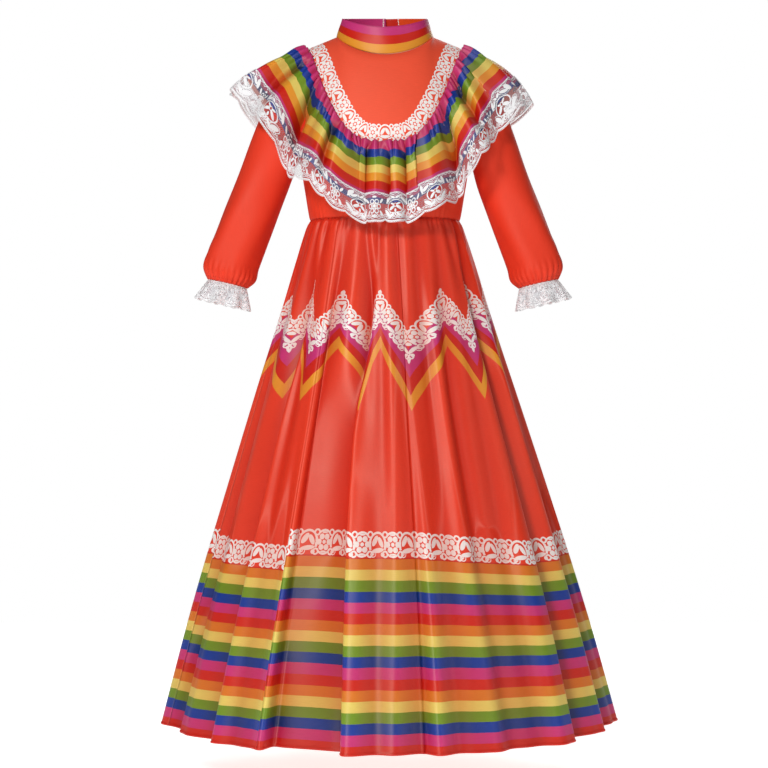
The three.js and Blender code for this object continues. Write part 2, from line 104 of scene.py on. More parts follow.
def addFloor():
    z, wide = studio["floorZ"], studio["floorHalf"]
    mesh = bpy.data.meshes.new("floor")
    corners = [(-wide, -wide, z), (wide, -wide, z), (wide, wide, z), (-wide, wide, z)]
    mesh.from_pydata(corners, [], [(0, 1, 2, 3)])
    paint = Wire.start("pale floor")
    paper = paint.node("ShaderNodeBsdfDiffuse", sockets={"Color": studio["floorPaint"]})
    glow = paint.node("ShaderNodeEmission", sockets={"Color": white, "Strength": studio["floorGlow"]})
    mesh.materials.append(paint.finish(paint.node("ShaderNodeAddShader", sockets={0: paper, 1: glow})))
    floor = added("floor", mesh)


# Shaders: a wire is one output of a node, and sums on wires add the nodes that work them out.

def sign(operation, flipped=False):  # what one of Python's own signs does between a wire and another value
    def work(wire, other):
        return wire.math(operation, other, wire) if flipped else wire.math(operation, wire, other)

    return work


class Wire:
    def __init__(self, material, socket=None):
        self.material, self.socket = material, socket

    @classmethod
    def start(cls, name):
        material = bpy.data.materials.new(name)
        material.use_nodes = True
        material.node_tree.nodes.clear()
        return cls(material)

    def node(self, kind, settings=None, sockets=None, out=0):
        made = self.material.node_tree.nodes.new(kind)
        for name, value in (settings or {}).items():
            if name == "stops":
                self.fillRamp(made.color_ramp, value)
            else:
                setattr(made, name, value)
        for name, value in (sockets or {}).items():
            if isinstance(value, Wire):
                self.material.node_tree.links.new(value.socket, made.inputs[name])
            else:
                made.inputs[name].default_value = value
        return Wire(self.material, made.outputs[out] if made.outputs else None)

    def fillRamp(self, ramp, stops):
        ramp.interpolation = "CONSTANT"
        while len(ramp.elements) < len(stops):
            ramp.elements.new(1.0)
        for element, (at, colour) in zip(ramp.elements, stops):
            element.position, element.color = at, colour

    def finish(self, shader):
        self.node("ShaderNodeOutputMaterial", sockets={"Surface": shader})
        return self.material

    def map(self, name):
        return self.node("ShaderNodeUVMap", {"uv_map": name})

    def split(self):
        parts = self.node("ShaderNodeSeparateXYZ", sockets={0: self})
        return parts, Wire(self.material, parts.socket.node.outputs[1])

    def joined(self, x, y):
        return self.node("ShaderNodeCombineXYZ", sockets={0: x, 1: y})

    def math(self, operation, *values, clamped=False):
        settings = {"operation": operation, "use_clamp": clamped}
        return self.node("ShaderNodeMath", settings, dict(enumerate(values)))

    def vector(self, operation, *values, out=0):
        return self.node("ShaderNodeVectorMath", {"operation": operation}, dict(enumerate(values)), out)

    def blend(self, mask, below, above, kind="MIX"):
        settings = {"data_type": "RGBA", "blend_type": kind}
        return self.node("ShaderNodeMix", settings, {0: mask, 6: below, 7: above}, 2)

    def noise(self, at, scale, detail, dimensions="2D"):
        sockets = {"Vector": at, "Scale": scale, "Detail": detail}
        return self.node("ShaderNodeTexNoise", {"noise_dimensions": dimensions}, sockets)

    def bump(self, height):
        return self.node("ShaderNodeBump", sockets={"Height": height, "Strength": 1.0, "Distance": 1.0})

    def fract(self):
        return self.math("FRACT", self)

    def repeat(self, pitch, shift=0):  # how far a point lies from the middle of the repeat that it is in
        return (self * (1 / pitch) + shift).fract() * pitch - pitch / 2

    def __abs__(self):
        return self.math("ABSOLUTE", self)

    __add__, __radd__ = sign("ADD"), sign("ADD", flipped=True)
    __sub__, __rsub__ = sign("SUBTRACT"), sign("SUBTRACT", flipped=True)
    __mul__, __rmul__ = sign("MULTIPLY"), sign("MULTIPLY", flipped=True)
    __gt__, __lt__ = sign("GREATER_THAN"), sign("LESS_THAN")
    __or__, __and__ = sign("MAXIMUM"), sign("MULTIPLY")


def colour(red, green, blue):  # screen values 0 to 255 as the linear colour that a shader takes
    def linear(value):
        share = value / 255
        return share / 12.92 if share <= 0.04045 else ((share + 0.055) / 1.055) ** 2.4

    return (linear(red), linear(green), linear(blue), 1.0)


dyesAndPaintedLight = {
    # coral is painted light: a paler copy of the red, for the lit chest
    "vermilion": colour(240, 60, 32), "litChest": colour(248, 84, 54), "sleeve": colour(238, 58, 32),
    "scarlet": colour(214, 30, 14), "rust": colour(238, 74, 20), "orange": colour(226, 124, 34),
    "amber": colour(240, 156, 44), "yellow": colour(236, 210, 104), "green": colour(116, 152, 34),
    "blue": colour(4, 58, 158), "magenta": colour(208, 50, 122), "white": colour(255, 250, 246),
    "pale": colour(240, 178, 160), "lace": colour(252, 251, 252),
    # painted shade: the lace's net and the ground round its cords are painted grey
    "paintedLaceShade": colour(188, 180, 190),
}


# Print and lace motifs: masks that are 1 inside a shape, in millimetres round a repeat's own middle

def anyOf(masks):
    total = masks[0]
    for mask in masks[1:]:
        total = total | mask
    return total


def disc(at, x, y, radius):
    return at.vector("DISTANCE", at, (x, y, 0), out=1) < radius


def ring(at, x, y, radius, width):
    away = at.vector("DISTANCE", at, (x, y, 0), out=1)
    return at.math("COMPARE", away, radius, width / 2)


def placed(at, x, y, wide, tall, tilt=0):
    turn = (0, 0, math.radians(tilt))
    sockets = {"Vector": at, "Location": (x, y, 0), "Rotation": turn, "Scale": (wide, tall, 1)}
    return at.node("ShaderNodeMapping", {"vector_type": "TEXTURE"}, sockets)


def leaf(at, x, y, wide, tall, tilt):
    return at.vector("LENGTH", placed(at, x, y, wide, tall, tilt), out=1) < 1


def leafLine(at, x, y, wide, tall, tilt, line):
    away = at.vector("LENGTH", placed(at, x, y, wide, tall, tilt), out=1)
    return at.math("COMPARE", away, 1, line)


def leaves(at, rows, k, spread, x=0):  # a row for each leaf: its middle across and up, half sizes and tilt
    return anyOf([leaf(at, x + across * spread, up * k, wide * k, tall * k, tilt)
                  for across, up, wide, tall, tilt in rows])


def flower(at, x, y, size, hollow=0):  # six round petals in a circle, and a dot in the middle
    own = placed(at, x, y, size, size)
    across, up = own.split()
    far = own.vector("LENGTH", own, out=1)
    turn = own.math("PINGPONG", own.math("ARCTAN2", up, across), math.pi / 6)
    middle, petal, dot = 0.66, 0.325, 0.22  # how far out the petals stand, their radius and the dot's
    gap = far * far - far * turn.math("COSINE", turn) * (2 * middle)
    shown = gap < petal**2 - middle**2
    if hollow:
        shown = shown & (gap > hollow**2 - middle**2)
    return shown | (far < dot)


def scroll(at, x, y, size, turns=1.6, line=0.42):  # a spiral tendril
    own = placed(at, x, y, size, size)
    across, up = own.split()
    far = own.vector("LENGTH", own, out=1)
    wound = (far * turns - own.math("ARCTAN2", up, across) * (1 / tau)).fract()
    return own.math("COMPARE", wound, 0.5, line / 2) & (far < 1)


def loops(start, across, up, pitch, radius, width):  # a row of small loops along a level
    return ring(start.joined(across.repeat(pitch), up), 0, 0, radius, width)


# Cloth finishes

cloth = {
    "rough": 0.57, "gloss": 0.8,
    "drawn": 0.8,  # how far a highlight is drawn out along the folds
    "warmth": (1.0, 0.84, 0.68, 1),  # the tint of a highlight on the cloth
    "sheen": 0.03, "sheenRough": 0.4,
    "knit": {"rough": 0.6, "gloss": 0.4, "drawn": 0.0},
    "weaveAcross": 90.0,  # threads lie across, so the weave is long that way
    "weaveDown": 1150.0, "weaveDepth": 0.00010,
    "weaveShare": 0.55,  # the weave's share in the cloth's small changes of shade; clouds make the rest
    "clouds": 14.0, "cloudRough": 0.14, "darkest": (0.80, 0.80, 0.80, 1),
    "deep": (0.68, 0.28, 0.22, 1),  # painted shade: in the folds' troughs the colour is multiplied by this, which keeps the red and darkens every other colour
    "seamWide": 0.0016, "seamDeep": 0.00008,
    "hemStitches": 0.006,  # from the lower edge up to the row of stitches
    "stitchStep": 0.0032, "stitchRise": 0.0002,
}


def satin(start, baseColour, relief=None, finish=cloth):
    flat = start.map("flat")
    threads = start.vector("MULTIPLY", flat, (cloth["weaveAcross"], cloth["weaveDown"], 0))
    weave = start.noise(threads, 1.0, 2.0)
    clouds = start.noise(flat, cloth["clouds"], 3.0)
    mottled = weave * cloth["weaveShare"] + clouds * (1 - cloth["weaveShare"])
    grey = start.blend(mottled, cloth["darkest"], white)
    height = weave * cloth["weaveDepth"]
    if relief is not None:
        height = height + relief
    sockets = {
        "Base Color": start.blend(1.0, baseColour, grey, "MULTIPLY"),
        "Roughness": clouds * cloth["cloudRough"] + (finish["rough"] - cloth["cloudRough"] / 2),
        "Normal": start.bump(height),
        "Sheen Weight": cloth["sheen"],
        "Sheen Roughness": cloth["sheenRough"],
        "Sheen Tint": cloth["warmth"],
        "Anisotropic": finish["drawn"],
        "Anisotropic Rotation": 0.25,
        "Specular IOR Level": finish["gloss"],
        "Specular Tint": cloth["warmth"],
    }
    return start.node("ShaderNodeBsdfPrincipled", sockets=sockets)


def paintedFoldShade(start, baseColour):
    # painted shade: the colour darkened in the troughs of the folds, by the fold map
    hollow, _ = start.map("fold").split()
    return start.blend(hollow, baseColour, cloth["deep"], "MULTIPLY")


def seamRelief(start):  # a sewn edge: cloth dips into the seam
    beside, _ = start.map("edge").split()
    near = start.math("MULTIPLY_ADD", beside, -1 / cloth["seamWide"], 1.0, clamped=True)
    return near * near * -cloth["seamDeep"]


def stitchRow(start, along, beside, at, thick=0.0007):  # a row of machine stitches
    dash = start.math("COMPARE", (along * (1 / cloth["stitchStep"])).fract(), 0.5, 0.32)
    return dash & start.math("COMPARE", beside, at, thick / 2)


def plainSatin():
    start = Wire.start("plain satin")
    _, hem = start.map("edge").split()
    along, _ = start.map("flat").split()
    stitches = stitchRow(start, along, hem, cloth["hemStitches"])
    shaded = start.blend(stitches * 0.5, dyesAndPaintedLight["sleeve"], dyesAndPaintedLight["scarlet"])
    relief = seamRelief(start) + stitches * cloth["stitchRise"]
    return start.finish(satin(start, shaded, relief, cloth["knit"]))


def insideCloth():
    start = Wire.start("inside of the cloth")
    return start.finish(satin(start, dyesAndPaintedLight["pale"], finish=cloth["knit"]))


def stripes(start, at, order, first, width, plain):  # flat bands of colour, one after the other
    total = first + width * len(order)
    stops = [(0.0, plain)] + [((first + width * i) / total, dyesAndPaintedLight[name]) for i, name in enumerate(order)]
    return start.node("ShaderNodeValToRGB", {"stops": stops}, {0: at * (1 / total)})


border = {
    "cells": 5,  # repeats of the white band on each gore
    "cell": 45.0, "bottom": -706.0, "tall": 33.0, "stripesTop": -705.5,
    "line": 1.5,  # a thin red line above the first stripe
    "stripe": 13.15,
    "order": ["orange", "yellow", "green", "blue", "magenta", "scarlet"] * 3,
    "hem": 2.2,
    # how much higher each gore's print lies at its first and at its last seam
    "lifts": ((7, -10), (-8, 0), (0, 0), (0, 0), (0, 0), (0, 0), (-7, -11), (8, 7)),
}
zigzag = {
    "period": 78.0,  # cloth from one peak to the next
    "around": 16,
    "level": -420.0,  # where the period is measured
    # from below: what dye begins, at what height at a peak, and how much lower at a valley
    "bands": [("amber", -425.0, 84.0), ("scarlet", -409.0, 80.0), ("magenta", -397.0, 68.0),
              ("vermilion", -371.0, 56.0)],
    "drop": 56.0,  # the white print, from a peak down to a valley
    "middle": -368.5,  # the middle of the white print at a peak
    "thick": 26.0,
    "reach": 14.5,  # the most that the white print reaches to each side of its middle
    "knob": {"above": 18.5, "below": 15.0, "radius": 2.2, "line": 1.5},  # a ring off each peak and valley
    "rise": 16.0,  # how much higher the print lies at the sides
    "riseFrom": 28.0,  # degrees from the front's middle
    "riseOver": 16.0,
}
bandLeaves = [(-3.4, 3.6, 6.2, 2.7, 62), (3.8, 2.2, 6.0, 2.6, 118), (0.4, -6.4, 7.4, 2.5, 8)]


def bandMotifs(start, across, up, cell, tall):  # one repeat: a flower, then leaves, each in its own arcs
    k = tall / 28
    at, rose, pair = start.joined(across, up), -cell / 4, cell / 4
    arcs = leafLine(at, rose, 0, 10.2 * k, 12.6 * k, 0, 0.09) & (abs(up) > 7.0 * k)
    arcs = arcs | (leafLine(at, pair, 0, 9.6 * k, 12.2 * k, 0, 0.1) & (up > -5.5 * k))
    mask = arcs | flower(at, rose, 0, 9.8 * k) | leaves(at, bandLeaves, k, k, pair)
    mask = mask | leaf(start.joined(across, abs(up)), rose, 10.2 * k, 3.6 * k, k, 0)
    mask = mask | scroll(at, pair - 6 * k, -10.2 * k, 4.0 * k) | disc(at, pair + 6.4 * k, -10.6 * k, 2.4 * k)
    four = start.joined(abs(across), abs(up))
    for x in (0, cell / 2):
        mask = mask | ring(four, x, 10.2 * k, 2.9 * k, 1.9 * k) | leaf(four, x, 2.6 * k, 1.5 * k, 3.4 * k, 0)
    return mask


def borderMask(start, cells, z):
    across = (cells.fract() - 0.5) * border["cell"]
    up = z * metre - (border["bottom"] + border["tall"] / 2)
    return bandMotifs(start, across, up, border["cell"], border["tall"])


def zigzagMask(start, phase, z):  # drawn from a peak to the valley beside it, and mirrored
    half, drop, knob = zigzag["period"] / 2, zigzag["drop"], zigzag["knob"]
    x = abs(phase.fract() - 0.5) * zigzag["period"]
    y = z * metre - zigzag["middle"]
    slanted, long = math.atan2(drop, half), math.hypot(drop, half)
    down = x * math.cos(slanted) - y * math.sin(slanted)
    out = x * math.sin(slanted) + y * math.cos(slanted)
    mask = bandMotifs(start, down.repeat(long / 2, 0.75), out, long / 2, zigzag["thick"])
    for side, level in [(0, knob["above"]), (half, -drop - knob["below"])]:
        mask = mask | ring(start.joined(x, y), side, level, knob["radius"], knob["line"])
    return mask & (abs(out) < zigzag["reach"])


def printedSatin():
    start = Wire.start("printed satin")
    phase, z = start.map("zigzag").split()
    cells, level = start.map("print").split()
    _, hem = start.map("edge").split()
    slant = abs(phase.fract() - 0.5) * 2  # 0 at a peak, 1 at a valley
    height = z * metre
    baseColour = dyesAndPaintedLight["vermilion"]
    for name, peak, drop in zigzag["bands"]:
        baseColour = start.blend(height > slant * -drop + peak, baseColour, dyesAndPaintedLight[name])
    fall = level * -metre + border["stripesTop"]
    order, line, stripe = border["order"], border["line"], border["stripe"]
    baseColour = start.blend(fall > 0, baseColour, stripes(start, fall, order, line, stripe, dyesAndPaintedLight["scarlet"]))
    baseColour = start.blend(hem < border["hem"] * mm, baseColour, dyesAndPaintedLight["scarlet"])
    baseColour = start.blend(zigzagMask(start, phase, z) | borderMask(start, cells, level), baseColour, dyesAndPaintedLight["white"])
    return start.finish(satin(start, paintedFoldShade(start, baseColour), seamRelief(start)))


neckBand = {"cell": 36.0, "wide": 24.5}


def bodicePrint():
    start = Wire.start("bodice satin")
    along, inward = start.map("band").split()
    across = (abs(along) * metre).repeat(neckBand["cell"], 0.75)
    up = inward * metre - neckBand["wide"] / 2
    baseColour = start.blend(inward > 0, dyesAndPaintedLight["vermilion"], dyesAndPaintedLight["litChest"])  # painted light: the chest inside the neck band is painted paler, for light showing through the cloth
    baseColour = start.blend(bandMotifs(start, across, up, neckBand["cell"], neckBand["wide"]), baseColour, dyesAndPaintedLight["white"])
    return start.finish(satin(start, baseColour, seamRelief(start), cloth["knit"]))


flounceStripes = {
    "width": 11.8,
    "order": ["magenta", "blue", "green", "yellow", "amber", "scarlet", "magenta", "blue"],
}
collarStripes = {
    "width": 13.0,
    "order": ["magenta", "scarlet", "amber"],
    "strip": 162,  # degrees from the front to the closing strip on the inside
    "stitches": (162, -178), "stitchThick": 1.6,
}


def stripedSatin(name, order, width, folds=True):
    start = Wire.start(name)
    _, down = start.map("print").split()
    bands = stripes(start, down * metre + 0.001, order, 0.0, width, dyesAndPaintedLight[order[0]])
    # painted shade in the folds' troughs, unless folds is False
    if folds:
        bands = paintedFoldShade(start, bands)
    return start.finish(satin(start, bands, seamRelief(start)))


def collarInside():
    start = Wire.start("inside of the collar")
    angle, down = start.map("print").split()
    baseColour = start.blend(angle > 90, dyesAndPaintedLight["magenta"], dyesAndPaintedLight["rust"])
    baseColour = start.blend(angle > collarStripes["strip"], baseColour, dyesAndPaintedLight["scarlet"])
    rows = [stitchRow(start, down, angle, at, collarStripes["stitchThick"])
            for at in collarStripes["stitches"]]
    return start.finish(satin(start, start.blend(anyOf(rows), baseColour, dyesAndPaintedLight["white"]), finish=cloth["knit"]))


laceWork = {
    "cell": 40.0, "flounceTall": 40.0, "cuffTall": 30.0, "net": 560.0, "thread": 0.075,
    "netOpen": 0.08, "netClosed": 0.72, "cord": 0.9, "cordSolid": 0.98,
    "bare": (0.8, 1.7),  # no net outside the edge cords, at the top and at the bottom
    # rows of leaves; the corded ones have a cord round them
    "corded": [(14.5, 28, 6.4, 2.7, -34), (6.5, 31, 4.6, 1.9, 18), (12, 9.5, 5.0, 2.1, 32),
               (3.5, 7.5, 3.6, 1.7, -24)],
    "plain": [(5.6, 21.6, 5.0, 2.0, 28), (4.6, 16.6, 3.4, 1.2, -24), (0, 25.2, 1.5, 2.4, 0),
              (18, 9, 6, 2.6, 64)],
    "roundRose": [(11.5, 12, 4.2, 1.8, -52), (11.5, 28.5, 4.2, 1.8, 52), (0, 7.5, 3.2, 1.5, 0),
                  (0, 32.5, 3.8, 1.4, 0)],
}


def lace(name, tall):
    start = Wire.start(name)
    along, down = start.map("lace").split()
    u, v = along * metre, down * metre
    cell, cord = laceWork["cell"], laceWork["cord"]
    k = tall / laceWork["flounceTall"]
    middle, rose = 20 * k, cell / 2
    two = u.repeat(2 * cell)
    at, pair = start.joined(two, v), start.joined(abs(two + rose), v)  # the leaf's own half is mirrored
    line = flower(at, rose, middle, 10.6 * k, hollow=0.19) | ring(at, rose, middle, 3.3 * k, cord)
    line = line | leafLine(pair, 0, middle, 13.4 * k, 8.6 * k, 0, 0.065)
    line = line | ring(pair, 0, middle - 1.6 * k, 2.2 * k, cord)
    for x, y, wide, high, tilt in laceWork["corded"]:
        line = line | leafLine(pair, x, y * k, (wide + 1.7) * k, (high + 1.5) * k, tilt, 0.08)
    wave = start.math("SINE", u * (tau / (cell / 4)))
    cords = [(tall - 2.4, 0, 0.7), (tall - 5.2, 0.5, 0.4), (3.0, 0.9, 0.45), (1.4, 0.3, 0.45)]
    for level, sway, width in cords:
        line = line | start.math("COMPARE", v + wave * sway, level, width)
    dense = leaves(pair, laceWork["corded"] + laceWork["plain"], k, 1)
    dense = dense | leaves(start.joined(abs(two - rose), v), laceWork["roundRose"], k, 1)
    picots = loops(start, u, v - (tall - 0.9), 2.6, 0.9, 0.8) | loops(start, u, v - 0.7, 2.6, 0.8, 0.7)
    beads = loops(start, u, v - (tall - 8.0 * k), 4.4, 1.5, 1.0)
    thick = line | picots | beads | dense
    sockets = {"Vector": start.joined(along, down), "Scale": laceWork["net"]}
    kind = {"voronoi_dimensions": "2D", "feature": "DISTANCE_TO_EDGE"}
    net = start.node("ShaderNodeTexVoronoi", kind, sockets) < laceWork["thread"]
    ground = net * (laceWork["netClosed"] - laceWork["netOpen"]) + laceWork["netOpen"]
    ground = ground & (1 - leaf(pair, 0, middle, 12.2 * k, 7.6 * k, 0) * 0.5)
    top, bottom = laceWork["bare"]
    ends = (v > tall - bottom) | (v < top)
    sockets = {
        # painted shade: all but the thick cords take the grey lace colour
        "Base Color": start.blend(thick, dyesAndPaintedLight["paintedLaceShade"], dyesAndPaintedLight["lace"]),
        "Roughness": 0.75,
        "Alpha": (thick * laceWork["cordSolid"]) | (ground & (1 - ends)),
        "Normal": start.bump(thick * 0.0006 + net * 0.0001),
        "Sheen Weight": 0.2,
    }
    return start.finish(start.node("ShaderNodeBsdfPrincipled", sockets=sockets))


def hookTape():
    start = Wire.start("hook tape")
    fuzz = start.noise(start.node("ShaderNodeTexCoord", out=3), 1800.0, 2.0, "3D")
    baseColour = start.blend(fuzz, dyesAndPaintedLight["scarlet"], dyesAndPaintedLight["vermilion"])
    sockets = {"Base Color": baseColour, "Roughness": 0.9, "Normal": start.bump(fuzz * 0.0006)}
    return start.finish(start.node("ShaderNodeBsdfPrincipled", sockets=sockets))


addCamera()
addSurround()
addFloor()
for lamp in ("key", "fill", "back"):
    addLight(lamp, **studio[lamp])
finishes = {
    "satin": plainSatin(),
    "inside": insideCloth(),
    "printed": printedSatin(),
    "bodice": bodicePrint(),
    "flounce": stripedSatin("flounce stripes", flounceStripes["order"], flounceStripes["width"]),
    "collar": stripedSatin("collar stripes", collarStripes["order"], collarStripes["width"], folds=False),
    "collarInside": collarInside(),
    "lace": lace("flounce lace", laceWork["flounceTall"]),
    "cuffLace": lace("cuff lace", laceWork["cuffTall"]),
    "tape": hookTape(),
}
print("finishes made:", len(finishes))


# Numbers and grids: a grid holds points in rows from a piece's top and columns round it.

def mix(a, b, t):
    return a + (b - a) * t


def clamp(t):
    return np.clip(t, 0, 1)


def smooth(t):
    t = clamp(t)
    return t * t * (3 - 2 * t)


def power(value, exponent):
    return np.sign(value) * np.abs(value) ** exponent


def sinDeg(angle):
    return np.sin(np.radians(angle))


def cosDeg(angle):
    return np.cos(np.radians(angle))


def waves(at, *rows):  # a sum of sines, each of its own height, rate and start
    return sum(high * np.sin(rate * at + start) for high, rate, start in rows)


def point(x, y, z):
    return np.stack(np.broadcast_arrays(x, y, z), axis=-1).astype(float)


def unit(vectors):
    return vectors / np.maximum(np.linalg.norm(vectors, axis=-1, keepdims=True), 1e-9)


def table(names, *rows):
    return dict(zip(names.split(), np.array(rows, float).T))


def profile(rows, name, at, key="z"):  # a smooth curve through one column of a table
    order = np.argsort(rows[key])
    x, y = rows[key][order], rows[name][order]
    slope = np.gradient(y, x)
    i = np.clip(np.searchsorted(x, at) - 1, 0, len(x) - 2)
    width = x[i + 1] - x[i]
    t = clamp((at - x[i]) / width)
    rise = (2 * t**3 - 3 * t**2 + 1) * y[i] + (3 * t**2 - 2 * t**3) * y[i + 1]
    return rise + ((t**3 - 2 * t**2 + t) * slope[i] + (t**3 - t**2) * slope[i + 1]) * width


def lengthsAlong(line):
    return np.concatenate([[0], np.cumsum(np.linalg.norm(np.diff(line, axis=0), axis=1))])


def evenly(angles, line, count):  # angles that share a line out into equal lengths
    lengths = lengthsAlong(line)
    return np.interp(np.linspace(0, lengths[-1], count + 1), lengths, angles)


def normalsOf(grid, side=1, closed=False):
    if closed:
        wrapped = np.concatenate([grid[:, -2:-1], grid, grid[:, 1:2]], axis=1)
        across = np.gradient(wrapped, axis=1)[:, 1:-1]
    else:
        across = np.gradient(grid, axis=1)
    return unit(np.cross(across, np.gradient(grid, axis=0))) * side


def hollows(grid, reach, span):  # round a closed piece, 0 on a ridge and 1 in a trough: how much painted shade each point gets
    wrapped = np.concatenate([grid[:, -reach - 1:-1], grid, grid[:, 1:reach + 1]], axis=1)
    total = np.concatenate([np.zeros_like(wrapped[:, :1]), np.cumsum(wrapped, axis=1)], axis=1)
    middle = (total[:, 2 * reach + 1:] - total[:, :-2 * reach - 1]) / (2 * reach + 1)
    under = ((middle - grid) * normalsOf(middle, -1, closed=True)).sum(-1)
    return clamp(0.5 + under / span)


def flatOf(grid):  # metres across from the first column, and down from the first row
    step = np.linalg.norm(np.diff(grid, axis=1), axis=-1)
    drop = np.linalg.norm(np.diff(grid, axis=0), axis=-1)
    across = np.concatenate([np.zeros((grid.shape[0], 1)), np.cumsum(step, axis=1)], axis=1)
    down = np.concatenate([np.zeros((1, grid.shape[1])), np.cumsum(drop, axis=0)], axis=0)
    return across * mm, down * mm


def edgeOf(grid):  # metres to the nearer side seam, and to the lower edge
    across, down = flatOf(grid)
    return np.minimum(across, across[:, -1:] - across), down[-1:] - down


def eased(grid, amount, times, axis):  # points drawn towards their neighbours, the ends kept
    grid = np.moveaxis(grid, axis, 0).copy()
    shape = grid.shape[:-1] if axis == 0 else grid.shape[1::-1]
    amount = np.moveaxis(np.broadcast_to(amount, shape), axis, 0)
    for _ in range(times):
        between = (grid[:-2] + 2 * grid[1:-1] + grid[2:]) / 4
        grid[1:-1] = mix(grid[1:-1], between, amount[1:-1, ..., None])
    return np.moveaxis(grid, 0, axis)


def sewPiece(node, grid, side, outer, maps=None, inner="inside", slot="satin", **cut):
    name = node + ("_cloth" if inner else "_net")
    rows, columns = grid.shape[:2]
    index = np.arange(rows * columns).reshape(rows, columns)
    quads = np.stack([index[:-1, :-1], index[:-1, 1:], index[1:, 1:], index[1:, :-1]], -1).reshape(-1, 4)
    if side < 0:
        quads = quads[:, ::-1]
    mesh = bpy.data.meshes.new(name)
    mesh.from_pydata((grid.reshape(-1, 3) * mm).tolist(), [], quads.tolist())
    layers = {"flat": flatOf(grid), "edge": edgeOf(grid), **(maps or {})}
    for label, pair in layers.items():
        values = np.stack(np.broadcast_arrays(*pair), -1).reshape(-1, 2)[quads.reshape(-1)]
        mesh.uv_layers.new(name=label).data.foreach_set("uv", values.astype(np.float32).ravel())
    mesh.polygons.foreach_set("use_smooth", np.ones(len(mesh.polygons), bool))
    piece = added(name, mesh)
    mesh.materials.append(finishes[outer])
    if inner:
        mesh.materials.append(finishes[inner])
        shell = piece.modifiers.new("wall", "SOLIDIFY")
        shell.thickness, shell.offset, shell.material_offset = shellThick * mm, -1, 1
    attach(piece, "root")
    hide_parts(node)


# Bodice: the wearer's form, from the waist to the neck

waist = -246.0
wall = 1.2
lift = 1.0  # the outer face of a shell above the inside of its wall
seam = 0.3
shellThick = 0.7
bodice = {
    "form": table("z half front back", (-246, 103, 80, 74), (-215, 109, 87, 80), (-185, 114, 91, 84),
                  (-154, 118, 92, 86), (-110, 121, 90, 86), (-60, 123, 84, 82), (20, 124, 74, 74)),
    "boxy": 0.87,  # below 1 the sections are fuller than an ellipse
    "flattenFrom": 0.45,  # the share of the height from which front and back draw in to the neck
    "widenFrom": 0.5,  # and from which the sides run out to the shoulders
    "rows": 96,
    "lowRows": 0.36,  # the share of the rows that lies below the armholes
    "columns": 112, "easing": 60,
    "gathers": 22,  # small pleats in each half of the waist
    "gatherDepth": 0.9, "gatherTall": 42.0, "tuckDepth": 1.4, "tuckTall": 2.2,
}
neck = {"half": 67, "front": 57, "back": 54, "high": 11, "frontDrop": 33, "backRise": 8, "share": 0.6}
shoulder = {"x": 128, "slope": 0.41}
armhole = {"z": -84, "tall": 70, "deep": 40, "hollow": 14, "under": 10}
shoulderZ = neck["high"] - shoulder["slope"] * (shoulder["x"] - neck["half"])
lap = {"outer": -0.08, "inner": -0.005, "from": 0.16, "over": 0.14, "rise": 3.0}  # the back's two edges


def neckline(angle, form=neck):  # 0 at the front, 90 on the wearer's left, 180 at the back
    s, c = sinDeg(angle), cosDeg(angle)
    y = -np.where(c > 0, form["front"], form["back"]) * c
    z = form["high"] - np.where(c > 0, form["frontDrop"] * np.maximum(c, 0) ** 1.5, form["backRise"] * c)
    return point(form["half"] * s, y, z)


def topEdge(share, front):  # 0 at the middle of the neck, 1 at the shoulder point
    turn = np.clip(share / neck["share"], -1, 1) * 90
    collarLine = neckline(turn if front else 180 - turn)
    x = mix(neck["half"], shoulder["x"], (np.abs(share) - neck["share"]) / (1 - neck["share"]))
    slope = point(np.sign(share) * x, 0 * x, neck["high"] - shoulder["slope"] * (x - neck["half"]))
    return np.where((np.abs(share) <= neck["share"])[..., None], collarLine, slope)


def armholeAt(turn):  # 0 at the shoulder point, 180 at the underarm
    s, c = sinDeg(turn), cosDeg(turn)
    x = shoulder["x"] - armhole["hollow"] * s**2 - armhole["under"] * (1 - c) / 2
    return x, armhole["deep"] * s, armhole["z"] + armhole["tall"] * c


def bodiceAt(share, v, front):
    share, v = np.broadcast_arrays(np.asarray(share, float), np.asarray(v, float))
    form, face, boxy = bodice["form"], "front" if front else "back", bodice["boxy"]
    top = topEdge(share, front)
    z, sideZ = mix(waist, top[..., 2], v), mix(waist, shoulderZ, v)
    shrink = np.sqrt(1 - clamp((v - bodice["flattenFrom"]) / (1 - bodice["flattenFrom"])) ** 2)
    grow = smooth((v - bodice["widenFrom"]) / (1 - bodice["widenFrom"]))
    turn = np.degrees(np.arccos(np.clip((sideZ - armhole["z"]) / armhole["tall"], -1, 1)))
    holeX, holeY, _ = armholeAt(turn)
    cutOut = sideZ > armhole["z"] - armhole["tall"]
    depth = np.maximum(1e-6, profile(form, face, sideZ) * shrink)
    reach = np.where(cutOut, np.arccos(np.minimum(1, holeY / depth) ** (1 / boxy)), math.pi / 2)
    angle = share * reach
    x = mix(profile(form, "half", z) * power(np.sin(angle), boxy), top[..., 0], grow)
    sideX = mix(profile(form, "half", sideZ) * power(np.sin(reach), boxy), shoulder["x"], grow)
    x = x + np.where(cutOut, (holeX - sideX) * share**2 * np.sign(share), 0)
    y = mix(profile(form, face, z) * power(np.cos(angle), boxy), np.abs(top[..., 1]), 1 - shrink)
    return point(x, -y if front else y, z)


def risen(share):  # the outer back edge stands off the inner one by the closing strips
    return lap["rise"] * smooth((lap["from"] - share) / lap["over"])


def bodiceLevels(count):
    under = (armhole["z"] - armhole["tall"] - waist) / (shoulderZ - waist)
    low = np.linspace(0, under, int(count * bodice["lowRows"]), endpoint=False)
    turns = np.linspace(180, 0, count - len(low))
    return np.concatenate([low, (armholeAt(turns)[2] - waist) / (shoulderZ - waist)])


